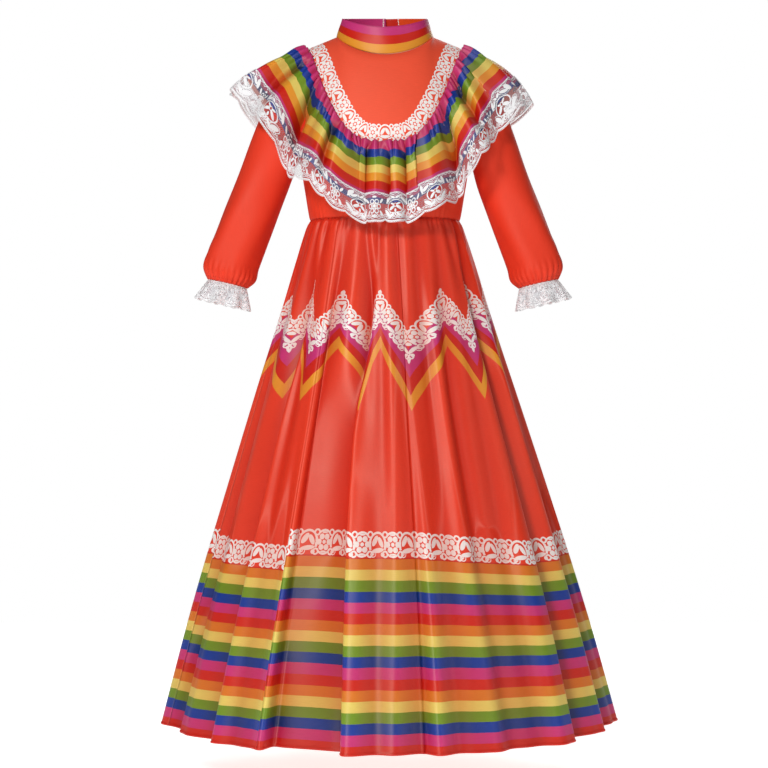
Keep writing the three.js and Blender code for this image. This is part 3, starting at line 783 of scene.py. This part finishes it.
def gathered(grid, normals, shares):  # pleats above the waist seam, and cloth tucked into it
    above = grid[..., 2] - waist
    fade = 1 - smooth(above / bodice["gatherTall"])
    turns = shares * bodice["gathers"] + waves(shares, (0.35, 17, 1.3))
    tuck = bodice["tuckDepth"] * np.exp(-np.abs(above) / bodice["tuckTall"])
    return grid + normals * (bodice["gatherDepth"] * np.sin(tau * turns) * fade - tuck)[..., None]


def bandMap(grid):  # metres along the flounce's seam from the front, and inwards from it
    line = seamAt(np.linspace(-89, 89, 357))[0]
    steps = lengthsAlong(line)
    flat = grid.reshape(-1, 3)
    nearest = np.empty(len(flat), int)
    atOnce = 2000  # points, to keep the table of distances small
    for start in range(0, len(flat), atOnce):
        part = flat[start:start + atOnce]
        nearest[start:start + atOnce] = np.argmin(((part[:, None] - line[None]) ** 2).sum(-1), axis=1)
    ahead = unit(np.gradient(line, axis=0))[nearest]
    offset = flat - line[nearest]
    passed = (offset * ahead).sum(-1)
    side = offset - passed[:, None] * ahead
    facing = side[:, 2] * np.abs(ahead[:, 0]) - side[:, 0] * np.sign(line[nearest, 0]) * np.abs(ahead[:, 2])
    along = steps[nearest] - steps[-1] / 2 + passed
    inward = np.linalg.norm(side, axis=1) * np.where(facing > 0, 1, -1)
    return (along * mm).reshape(grid.shape[:2]), (inward * mm).reshape(grid.shape[:2])


def makeBodice():
    levels = bodiceLevels(bodice["rows"])[:, None]
    ease = smooth((levels - 0.4) / 0.25) * (1 - smooth((levels - 0.9) / 0.08))  # most at the armholes
    shares = np.linspace(-1, 1, bodice["columns"])[None]
    grid = eased(bodiceAt(shares, levels, True), ease, bodice["easing"], 1)
    normals = normalsOf(grid)
    grid = gathered(grid + normals * lift, normals, shares + 0 * levels)
    sewPiece("bodice_front", grid, 1, "bodice", {"band": bandMap(grid)}, flat=(0.30, 0.27), area=0.066,
             held="stretched", rests_on=["skirt_gore_8"])
    half = bodice["columns"] // 2 + 6
    for name, first, hand in [("right", lap["inner"], -1), ("left", lap["outer"], 1)]:
        shares = np.linspace(first, 1, half)[None]
        grid = eased(bodiceAt(shares, levels, False), ease, bodice["easing"], 1)
        normals = normalsOf(grid, -1)
        if hand > 0:
            level = unit(normals * np.array([1, 1, 0]))
            grid = grid + level * risen(shares + 0 * levels)[..., None]
            normals = normalsOf(grid, -1)
        grid = gathered(grid + normals * lift, normals, shares + 0 * levels) * np.array([hand, 1, 1])
        sewPiece("bodice_back_" + name, grid, -hand, "satin", flat=(0.17, 0.27), area=0.036,
                 held="stretched", rests_on=["skirt_gore_4"])


# Collar: a standing band, lapped at the back

collar = {
    "half": 59, "front": 47, "back": 46, "high": 38, "frontDrop": 19.5, "backRise": 9, "tall": 39,
    "inner": -181,  # degrees to its two ends
    "outer": 196, "columns": 190, "rows": 18, "slack": 0.5,
}


def collarAt(angle, v):
    low = neckline(angle) + np.array([0, 0, (wall + seam) * 1.05])
    out = risen((180 - angle) / 90 * neck["share"])
    outwards = point(sinDeg(angle), -cosDeg(angle), 0 * angle)
    return mix(low, neckline(angle, collar), v[..., None]) + outwards * out[..., None]


def makeCollar():
    angles = np.linspace(collar["inner"], collar["outer"], collar["columns"])[None]
    angles, v = np.broadcast_arrays(angles, np.linspace(1, 0, collar["rows"])[:, None])
    grid = collarAt(angles, v)
    slack = collar["slack"] * np.sin(np.radians(angles) * 7 + v * 2.2) * np.sin(math.pi * v)
    grid = grid + normalsOf(grid, -1) * (lift + slack)[..., None]
    down = (1 - v) * collar["tall"] * mm
    sewPiece("collar", grid, -1, "collar", {"print": (angles, down)}, "collarInside", "striped_satin",
             flat=(0.42, 0.042), area=0.0165, held="stretched", rests_on=["bodice_front_cloth"])


# Sleeves, with their elastic cuffs and lace frills

sleeve = {
    "rows": table("drop out tilt wide deep y", (102, 40, 21.5, 35, 34, 2), (146, 57.5, 21.5, 35.6, 34, -3),
                  (190, 74.5, 21.5, 36, 34.5, -8), (216, 84.3, 20.5, 36.5, 35, -11),
                  (238, 89.6, 16, 35, 34, -13), (249, 91, 13, 26.5, 26.5, -14)),
    "cap": 7, "capDeep": 0.6,
    "gap": 0.5,  # between the armhole and the sleeve
    "gapUnder": 1.2, "columns": 120, "levels": 110,
    "headLevels": 0.4,  # the share of the levels above the underarm
    "easing": 120, "easeOver": 12, "easeTo": 60, "gathers": 26, "gatherDepth": 1.5,
    "gatherTall": 34.0, "folds": 1.3,
}
hands = {"left": {"side": 1, "start": 122.5}, "right": {"side": -1, "start": 128}}
frill = {"columns": 216, "rows": 16, "tall": 30, "flare": 10, "wave": 4.4, "waves": 9, "lobe": 2.6,
         "lace": 0.36}


def wholeTurn(columns):  # degrees from the underarm round to the underarm again
    return np.linspace(-180, 180, columns + 1)[None] % 360.0001


def ringAt(drop, angle, hand, add=0):
    out, tilt, wide, deep, y = (profile(sleeve["rows"], name, drop, "drop")
                                for name in ("out", "tilt", "wide", "deep", "y"))
    wide, deep = wide + add, deep + add
    x = hand["side"] * (hand["start"] + out + wide * cosDeg(angle) * cosDeg(tilt))
    return point(x, y - deep * sinDeg(angle), armhole["z"] - drop + wide * cosDeg(angle) * sinDeg(tilt))


def sleeveStart(angle, hand):
    turn = np.where(angle > 180, 360 - angle, angle)
    x, y, z = armholeAt(turn)
    gap = sleeve["gap"] + sleeve["gapUnder"] * ((1 - cosDeg(turn)) / 2) ** 3
    return point(hand["side"] * (x + gap), np.where(angle > 180, y, -y), z)


def sleevePoints(hand):
    top, last = sleeve["rows"]["drop"][0], sleeve["rows"]["drop"][-1]
    angle = wholeTurn(sleeve["columns"])
    head = np.linspace(0, 1, int(sleeve["levels"] * sleeve["headLevels"]), endpoint=False)[:, None]
    crown = mix(sleeveStart(angle, hand), ringAt(top, angle, hand), head[..., None])
    bulge = sleeve["cap"] * np.sin(math.pi * head)
    outwards = hand["side"] * bulge * np.maximum(0, cosDeg(angle))
    crown = crown + point(outwards, -sleeve["capDeep"] * bulge * sinDeg(angle), 0)
    drops = np.linspace(top, last, sleeve["levels"] - len(head))[:, None]
    near = 1 - smooth((last - drops) / sleeve["gatherTall"])
    turn = np.radians(angle)
    pleat = waves(turn, (sleeve["gatherDepth"], sleeve["gathers"], waves(turn, (0.8, 3, 0))))
    soft = waves(turn, (sleeve["folds"], 5, drops * 0.021)) * smooth((drops - top) / 60)
    grid = np.concatenate([crown, ringAt(drops, angle, hand, pleat * near + soft * (1 - near))])
    rows = np.arange(len(grid))[:, None]
    ease = smooth(rows / sleeve["easeOver"]) * (1 - smooth((rows - sleeve["easeTo"]) / sleeve["easeOver"]))
    return eased(grid, ease, sleeve["easing"], 0)


def frillPoints(hand):
    end, tilt = sleeve["rows"]["drop"][-1], sleeve["rows"]["tilt"][-1]
    down = np.array([hand["side"] * sinDeg(tilt), 0, -cosDeg(tilt)])
    angle = wholeTurn(frill["columns"])
    turn = np.radians(angle)
    v = np.linspace(0, 1, frill["rows"])[:, None]
    wave = frill["wave"] * v * np.cos(turn * frill["waves"] + waves(turn, (0.5, 2, 0)))
    lobes = (np.abs(np.sin(turn * frill["waves"])) ** 0.8 - 0.5) * frill["lobe"]
    edge = ringAt(end, angle, hand, frill["flare"] * v**0.8 + wave)
    edge = edge + down * (seam + 0.1 + (frill["tall"] + lobes * smooth(v * 1.4 - 0.4)) * v)[..., None]
    around = np.linspace(0, frill["lace"], frill["columns"] + 1)[None]
    return edge + normalsOf(edge, hand["side"], closed=True) * 0.5, (around, v * frill["tall"] * mm)


def makeSleeves():
    for name, hand in hands.items():
        side = hand["side"]
        grid = sleevePoints(hand)
        grid = grid + normalsOf(grid, side, closed=True) * lift
        sewPiece("sleeve_" + name, grid, side, "satin", flat=(0.26, 0.36), area=0.078,
                 held="gathered", rests_on=["bodice_front_cloth"])
        grid, laceMap = frillPoints(hand)
        sewPiece("cuff_lace_" + name, grid, side, "cuffLace", {"lace": laceMap}, None, "lace",
                 flat=(0.26, 0.031), held="gathered", rests_on=["sleeve_" + name + "_cloth"])


# Flounce: a straight striped strip gathered onto a seam round the shoulders, with lace on its edge

yoke = {"half": 112, "frontDrop": 138, "backDrop": 82, "round": 3.3, "bow": 1.8, "backBow": 1.6}
flounce = {
    "cloth": 90, "full": 115, "laceTop": 75, "laceLobe": 4.6, "sides": 4, "spread": 1.1,
    "swell": 9, "turn": 3.2, "crimp": 3.0, "crimpTall": 38,
    "drift": 1.0,  # how far the gathers pull the stripes up and down
    "streak": 1.7,  # depth of the narrow pleats that run on to the lace
    "heading": 2.6,  # the small frill that stands above the seam
    "headingTall": 9,
    "off": 0.8,  # the least room between the strip and the bodice
    "finer": 4,  # columns here for each one of the part's
    "rows": 46, "laceRows": 22,
    "counts": (80, 36, 28),  # the part's columns in each length
    "columnWide": 0.0085,  # metres of strip in one of them
    "laceWide": 0.010,
    "split": 188.6,  # the outer back edge
    # hollowReach and hollowSpan set the painted shade in the folds
    "hollowReach": 12, "hollowSpan": 9,
}
slope = {"front": (68, 84), "right": (8, 48), "left": (12, 70)}  # degrees below level, at seam and edge
troughs = table("at wide deep lean", (-88, 13, 20, 8), (-68, 11, 20, -10), (-48, 11, 42, -36),
                (-15, 11, 20, 6), (1, 8, 10, 0), (16, 10, 18, -4), (38, 11, 40, 30), (60, 11, 22, 8),
                (82, 11, 20, -6), (104, 11, 22, 8), (126, 11, 22, -8), (150, 12, 24, 10), (172, 10, 16, -6),
                (196, 11, 20, 8), (219, 12, 24, -8), (242, 11, 22, 8))
tucks = table("at wide deep lean", (-78, 4.5, 4, 7), (-63, 4.5, 2, -9), (-49, 5, 16, -17), (-34, 4, 10, -10),
              (-20, 3.6, 9, 9), (-10, 4, 11, -12), (1, 3, 6, 6), (11, 3.8, 10, 11), (23, 4, 9, -9),
              (39, 5, 15, 16), (52, 4.5, 11, 12), (66, 4.5, 8, -8), (80, 4.5, 8, 8), (97, 4, 9, 8),
              (115, 4, 9, -9), (138, 4, 9, 9), (161, 4, 9, -8), (207, 4, 9, 9), (230, 4, 9, -9),
              (256, 4, 8, 8))


def folded(folds, angle, sway=0, fallen=0):  # how far the folds carry a point inwards and sideways
    inward, sideways = 0, 0
    drifts = folds.get("drift", 0 * folds["at"])
    for at, wide, deep, lean, drift in zip(folds["at"], folds["wide"], folds["deep"], folds["lean"], drifts):
        off = (angle - at - drift * fallen - sway * sinDeg(at * 7) + 180) % 360 - 180
        amount = np.where(np.abs(off) < wide, np.cos(off / wide * math.pi / 2) ** 2, 0)
        inward, sideways = inward + deep * amount, sideways + lean * amount
    return inward, sideways


def onBodice(share, height, front):
    v = clamp((height - waist) / (topEdge(share, front)[..., 2] - waist))
    return bodiceAt(share, v, front)


def shareAt(half, height, front):  # how far across its panel the bodice reaches a distance from the middle
    low, high = np.zeros(half.shape), np.ones(half.shape)
    for _ in range(24):
        middle = (low + high) / 2
        short = onBodice(middle, height, front)[..., 0] < half
        low, high = np.where(short, middle, low), np.where(short, high, middle)
    return low


def keptOff(grid, front, gap):  # cloth that would dip into the bodice lies on it instead
    share = shareAt(np.abs(grid[..., 0]), grid[..., 2], front)
    side = -1 if front else 1
    least = onBodice(share, grid[..., 2], front)[..., 1] * side + gap
    deep = grid[..., 1] * side
    pushed = least + np.logaddexp(0, deep - least)
    near = (deep > -20) & (share < 0.99) & (grid[..., 2] > waist)
    moved = grid.copy()
    moved[..., 1] = np.where(near, pushed, deep) * side
    return moved


def seamAt(angle):  # the seam's points on the bodice, the bodice's normals and the panel shares there
    angle = np.atleast_1d(np.asarray(angle, float))
    points, normals, shares = np.zeros((len(angle), 3)), np.zeros((len(angle), 3)), np.zeros(len(angle))
    s, c = sinDeg(angle), cosDeg(angle)
    level = neck["high"] - shoulder["slope"] * (yoke["half"] - neck["half"])
    for front in (True, False):
        here = (c > 0) if front else (c <= 0)
        if not here.any():
            continue
        a, b = np.abs(s[here]), np.abs(c[here])
        bowed = clamp(1 - a ** yoke["round"]) ** yoke["bow"]
        backBowed = yoke["backDrop"] * b ** yoke["backBow"]
        z = level - (yoke["frontDrop"] * bowed if front else backBowed)
        share = shareAt(yoke["half"] * a, z, front)
        less, more = np.maximum(0, share - 0.02), np.minimum(1, share + 0.02)
        across = onBodice(more, z, front) - onBodice(less, z, front)
        top = np.minimum(z + 3, topEdge(share, front)[..., 2])
        up = onBodice(share, top, front) - onBodice(share, z - 6, front)
        mirror = np.stack([np.where(s[here] < 0, -1, 1), 1 + 0 * a, 1 + 0 * a], -1)
        points[here] = onBodice(share, z, front) * mirror
        normals[here] = unit(np.cross(across, up)) * (1 if front else -1) * mirror
        shares[here] = share
    return points, normals, shares


def evenAngles(first, last, count):
    fine = np.linspace(first, last, count * 6 + 1)
    return evenly(fine, seamAt(fine)[0], count)


def flounceColumns():  # the strip's columns, and the angle of each round the seam
    front, left, right = flounce["counts"]
    split = flounce["split"]
    rough = np.concatenate([evenAngles(-90, 90, front)[:-1], evenAngles(90, split, left)[:-1],
                            evenAngles(split, 270, right)])
    column = np.linspace(0, len(rough) - 1, (len(rough) - 1) * flounce["finer"] + 1)
    return column, np.interp(column, np.arange(len(rough)), rough)


def flouncePoints(reach, column, angle):
    points, normals, shares = seamAt(angle)
    s, c = sinDeg(angle), cosDeg(angle)
    reach = reach[:, None]
    behind = (angle > 90) & (angle < 270)
    lapped = np.where(angle < 180, risen(shares), lap["rise"] * (1 - smooth((angle - 190) / 12)))
    over = np.where(behind, lapped, 0)

    # the gathered strip, straight from the seam down to its edge
    beat = math.pi * (column + waves(column, (0.7, 0.57, 0), (0.4, 1.31, 1)))
    crimp = flounce["crimp"] * (1 + np.cos(beat)) * (1 + waves(column, (0.3, 0.83, 0)))
    crimp = crimp * (1 - smooth(reach / flounce["crimpTall"]))
    start = points[None] + normals[None] * (wall + seam + over + crimp)[..., None]
    lobes = flounce["laceLobe"] * (np.abs(np.sin(math.pi * column / 4)) ** 0.8 - 0.55)
    edge = smooth((reach - flounce["cloth"]) / (flounce["full"] - flounce["cloth"]))
    length = reach + (flounce["sides"] * s**2 + lobes) * edge
    turn = np.abs(s) ** flounce["turn"]
    first, last = (mix(slope["front"][i], np.where(s > 0, slope["left"][i], slope["right"][i]), turn)
                   for i in (0, 1))
    fall = first + (last - first) * length / (2 * flounce["full"])
    out, up = point(s, -c, 0)[None], point(0, 0, 1)
    down = out * cosDeg(fall)[..., None] - up * sinDeg(fall)[..., None]
    proud = out * sinDeg(fall)[..., None] + up * cosDeg(fall)[..., None]

    # its folds
    amount = (length / flounce["full"]) ** flounce["spread"]
    middle = smooth(reach / 20) * (1 - smooth((reach - 58) / 46))
    inward, sideways = folded(troughs, angle)
    tuckIn, tuckSide = folded(tucks, angle)
    streak = waves(column, (1, 1.05, waves(column, (1.2, 0.23, 0))),
                   (0.7, 1.57, waves(column, (0.8, 0.37, 0)) + 2))
    streak = flounce["streak"] * streak * (0.6 + waves(column, (0.4, 0.41, reach / 40)))
    streak = streak * smooth((reach + 6) / 40)
    inward = inward * amount + tuckIn * middle + streak
    sideways = sideways * amount + tuckSide * middle
    drift = flounce["drift"] * np.sin(beat + 1.1) * np.sin(math.pi * clamp(reach / 40))
    heading = flounce["heading"] * (0.5 + 0.5 * np.cos(beat)) * (1 - smooth(reach / flounce["headingTall"]))
    lower = length + drift - heading + 0.3 * tuckSide * middle
    grid = start + down * lower[..., None] + proud * (flounce["swell"] * amount - inward)[..., None]
    grid = grid + point(c, s, 0)[None] * sideways[..., None]
    gap = wall + seam + flounce["off"] + over
    return np.where(behind[:, None], keptOff(grid, False, gap), keptOff(grid, True, gap))


def makeFlounce():
    column, angle = flounceColumns()
    clothReach = np.linspace(0, flounce["cloth"], flounce["rows"])
    laceReach = np.linspace(flounce["laceTop"], flounce["full"], flounce["laceRows"])
    sheets = {}
    for kind, reach, off in [("cloth", clothReach, lift), ("lace", laceReach, wall + seam + 0.5)]:
        grid = flouncePoints(reach, column, angle)
        sheets[kind] = grid + normalsOf(grid, -1, closed=True) * off
    # painted shade in the folds' troughs, carried by the fold map
    hollow = hollows(sheets["cloth"], flounce["hollowReach"], flounce["hollowSpan"])
    firsts = np.cumsum((0, *flounce["counts"]))
    for name, first, count in zip(("front", "back_left", "back_right"), firsts, flounce["counts"]):
        part = slice(first * flounce["finer"], (first + count) * flounce["finer"] + 1)
        wide = count * flounce["columnWide"]
        maps = {"print": (column[part], clothReach[:, None] * mm), "fold": (hollow[:, part], 0)}
        sewPiece("flounce_" + name, sheets["cloth"][:, part], -1, "flounce", maps, slot="striped_satin",
                 flat=(wide, 0.092), held="gathered", rests_on=["bodice_front_cloth"])
        maps = {"lace": (column[part] * flounce["laceWide"], (laceReach[:, None] - flounce["laceTop"]) * mm)}
        sewPiece("flounce_lace_" + name, sheets["lace"][:, part], -1, "lace", maps, None, "lace",
                 flat=(wide, 0.042), held="gathered", rests_on=["flounce_" + name + "_cloth"])


# Skirt: eight flared gores, in deep folds from the waist to the hem

skirt = {
    "form": table("z half front back shift boxy", (-246.3, 103.4, 80.6, 74.6, 0, 0.87),
                  (-262, 109.5, 86, 80, 0, 0.88), (-300, 122, 97, 90, 0.5, 0.91),
                  (-370, 143.5, 116, 109, 1, 0.95), (-480, 178, 145, 138, 2, 1),
                  (-620, 221, 184, 176, 3.5, 1), (-780, 269, 229, 219, 5, 1), (-942, 313, 272, 262, 6, 1)),
    "top": -246.3, "hem": -942.0, "hemHalf": 313,
    "hemRows": (3.4, 2.2, 1.1, 0),  # above the hem, for its roll
    "roll": 0.9, "gores": 8,
    "first": 7,  # degrees to the first seam
    "columns": 72, "levels": 118, "sway": 0.9,
    "driftFrom": -320.0,  # some folds slant from this level down
    "driftTall": 230.0, "gathers": 29, "gatherDepth": 2.5, "gatherTall": 190.0, "puckers": 71,
    "puckerDepth": 0.8, "puckerTall": 24.0, "tuckDepth": 1.2, "tuckTall": 2.2,
    "soft": 3.2,  # depth of the small folds between the deep ones
    "streaks": ((31, 3.2), (47, 2.1)),  # long narrow folds: how many, and how deep
    # hollowReach, hollowSpan and hollowTall set the painted shade in the folds
    "hollowReach": 13,
    "hollowSpan": (7, 24),  # at the waist, and well below it
    "hollowTall": 500,
}
skirtFolds = table("at wide deep lean drift", (-74, 8, 22, 16, 0), (-51, 7.5, 26, 26, -4), (-40, 7, 9, 0, 0),
                   (-25, 7, 25, -24, -1), (-10.5, 7.5, 32, 26, -8), (7, 6, 12, 8, 0), (18, 5.5, 7, 0, 0),
                   (32, 8, 12, -4, 0), (58, 7.5, 26, -24, 0), (76, 8, 22, -12, 0), (95, 8, 22, 12, 0),
                   (113, 8, 26, -22, 0), (132, 8, 26, 22, 0), (151, 8, 24, -16, 0), (170, 8, 28, 20, 0),
                   (189, 8, 22, -16, 0), (208, 8, 28, 22, 0), (227, 8, 22, -14, 0), (246, 8, 26, 20, 0),
                   (266, 8, 22, -12, 0))
peaks = table("angle phase", (-86, -4), (-72, -3.5), (-57, -3), (-49, -2.5), (-40, -2), (-21.5, -1.5),
              (-13, -1.05), (-6, -0.62), (-2.5, -0.5), (9, 0), (32.5, 0.5), (45.5, 1), (58, 1.5), (73, 2),
              (86, 2.5))


def rippled(turn, z, full):  # the small folds' height; full is the skirt's width as a share of the hem's
    below = waist - z
    soft = waves(turn, (1.1, 17, 1.3 + z / 400), (0.8, 11, 2 + z / 240))
    soft = soft + waves(turn, (0.35, 29, 0.4 + z / 170)) * np.sin(4 * turn + 1)
    (few, wide), (many, fine) = skirt["streaks"]
    streak = waves(turn, (wide, few, waves(turn, (2.2, 3, 0)) + 0.9 * np.sin(z / 210)))
    narrow = waves(turn, (fine, many, waves(turn, (1.7, 4, 1)) + z / 380))
    streak = streak * (0.6 + waves(turn, (0.4, 5, z / 300)))
    streak = streak + narrow * (0.5 + waves(turn, (0.5, 6, 2 + z / 250)))
    pleat = waves(turn, (skirt["gatherDepth"], skirt["gathers"], waves(turn, (1.5, 5, 0), (1.1, 8, 1))))
    pleat = pleat * (0.65 + waves(turn, (0.35, 7, 0.8))) * smooth((below + 6) / 18)
    pucker = waves(turn, (skirt["puckerDepth"], skirt["puckers"], waves(turn, (1.6, 9, 0))))
    ripple = skirt["soft"] * soft * smooth((below - 10) / 220) * (0.5 + 0.5 * full)
    ripple = ripple + streak * smooth((below - 60) / 200) * (0.4 + 0.6 * full)
    ripple = ripple + pleat * (1 - smooth(below / skirt["gatherTall"]))
    ripple = ripple + pucker * (1 - smooth(below / skirt["puckerTall"]))
    return ripple - skirt["tuckDepth"] * np.exp(-below / skirt["tuckTall"])


def skirtAt(angle, z, plain=False):
    s, c = sinDeg(angle), cosDeg(angle)
    half, front, back, shift, boxy = (profile(skirt["form"], name, z)
                                      for name in ("half", "front", "back", "shift", "boxy"))
    depth = np.where(c > 0, front, back)
    full = half / skirt["hemHalf"]
    scale = full * smooth((waist - z + 12) / 190)
    sway = 0 if plain else skirt["sway"] * np.sin(z / 130)
    inward, sideways = folded(skirtFolds, angle, sway, smooth((skirt["driftFrom"] - z) / skirt["driftTall"]))
    out = unit(point(s / half, -c / depth, 0 * s * z))
    along = np.stack([-out[..., 1], out[..., 0], 0 * out[..., 0]], -1)
    ripple = 0 if plain else rippled(np.radians(angle), z, full)
    base = point(shift + half * power(s, boxy), -depth * power(c, boxy), z + 0 * s)
    return base + out * (ripple - inward * scale)[..., None] + along * (sideways * scale)[..., None]


def clothAngles(count):  # angles evenly spaced along the folded hem, from the first seam
    fine = np.linspace(skirt["first"], skirt["first"] + 360, 1441)
    return evenly(fine, skirtAt(fine, np.array(skirt["hem"]), plain=True), count)


def zigzagPhase(angle):  # whole numbers are valleys; round the back the cloth is shared out evenly
    around = zigzag["around"]
    fine = np.linspace(0, 720, 2881)
    lengths = lengthsAlong(skirtAt(fine, np.array(zigzag["level"]), plain=True))
    first, last = (np.interp(a, fine, lengths) for a in (peaks["angle"][-1], peaks["angle"][0] + 360))
    share = (np.interp(angle % 360, fine, lengths) - first) / (last - first)
    back = mix(peaks["phase"][-1], peaks["phase"][0] + around, share)
    near = (angle + 180) % 360 - 180
    ahead = np.interp(near, peaks["angle"], peaks["phase"]) + np.where(angle > 270, around, 0)
    return np.where((near > peaks["angle"][0]) & (near < peaks["angle"][-1]), ahead, back)


def makeSkirt():
    columns, hem, rows = skirt["columns"], skirt["hem"], skirt["hemRows"]
    count = skirt["gores"] * columns
    angle = clothAngles(count)[None]
    z = np.concatenate([np.linspace(skirt["top"], hem + 5, skirt["levels"]), hem + np.array(rows)])[:, None]
    grid = skirtAt(angle, z)
    rolled = skirt["roll"] * np.sin(math.pi * clamp((z - hem) / rows[0]))
    grid = grid + normalsOf(grid, -1, closed=True) * (lift + rolled)[..., None]
    span = mix(*skirt["hollowSpan"], clamp((waist - z) / skirt["hollowTall"]))
    # painted shade in the folds' troughs, carried by the fold map
    hollow = hollows(grid, skirt["hollowReach"], span)
    cells = np.linspace(0, skirt["gores"] * border["cells"], count + 1)[None]
    phase = zigzagPhase(angle)
    fallen = (z - hem) / (border["stripesTop"] - hem)
    aside = np.abs((angle + 180) % 360 - 180)  # degrees from the front's middle
    lowered = z - zigzag["rise"] * smooth((aside - zigzag["riseFrom"]) / zigzag["riseOver"])
    for gore in range(skirt["gores"]):
        part = slice(gore * columns, (gore + 1) * columns + 1)
        raised = np.linspace(*border["lifts"][gore], columns + 1)
        maps = {"print": (cells[:, part] + 0 * z, (z - fallen * raised) * mm),
                "zigzag": (phase[:, part] + 0 * z, lowered[:, part] * mm),
                "fold": (hollow[:, part], 0)}
        sewPiece("skirt_gore_" + str(gore + 1), grid[:, part], -1, "printed", maps, slot="printed_satin",
                 flat=(0.292, 0.735), area=0.149, held="hung", rests_on=["bodice_front_cloth"])


makeBodice()
print("bodice sewn")
makeCollar()
makeSleeves()
print("collar, sleeves and cuffs sewn")
makeFlounce()
print("flounce and lace gathered")
makeSkirt()
print("skirt hung")
for name in ("back_fastener", "collar_fastener"):
    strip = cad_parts[name]
    strip.data.materials.clear()
    strip.data.materials.append(finishes["tape"])
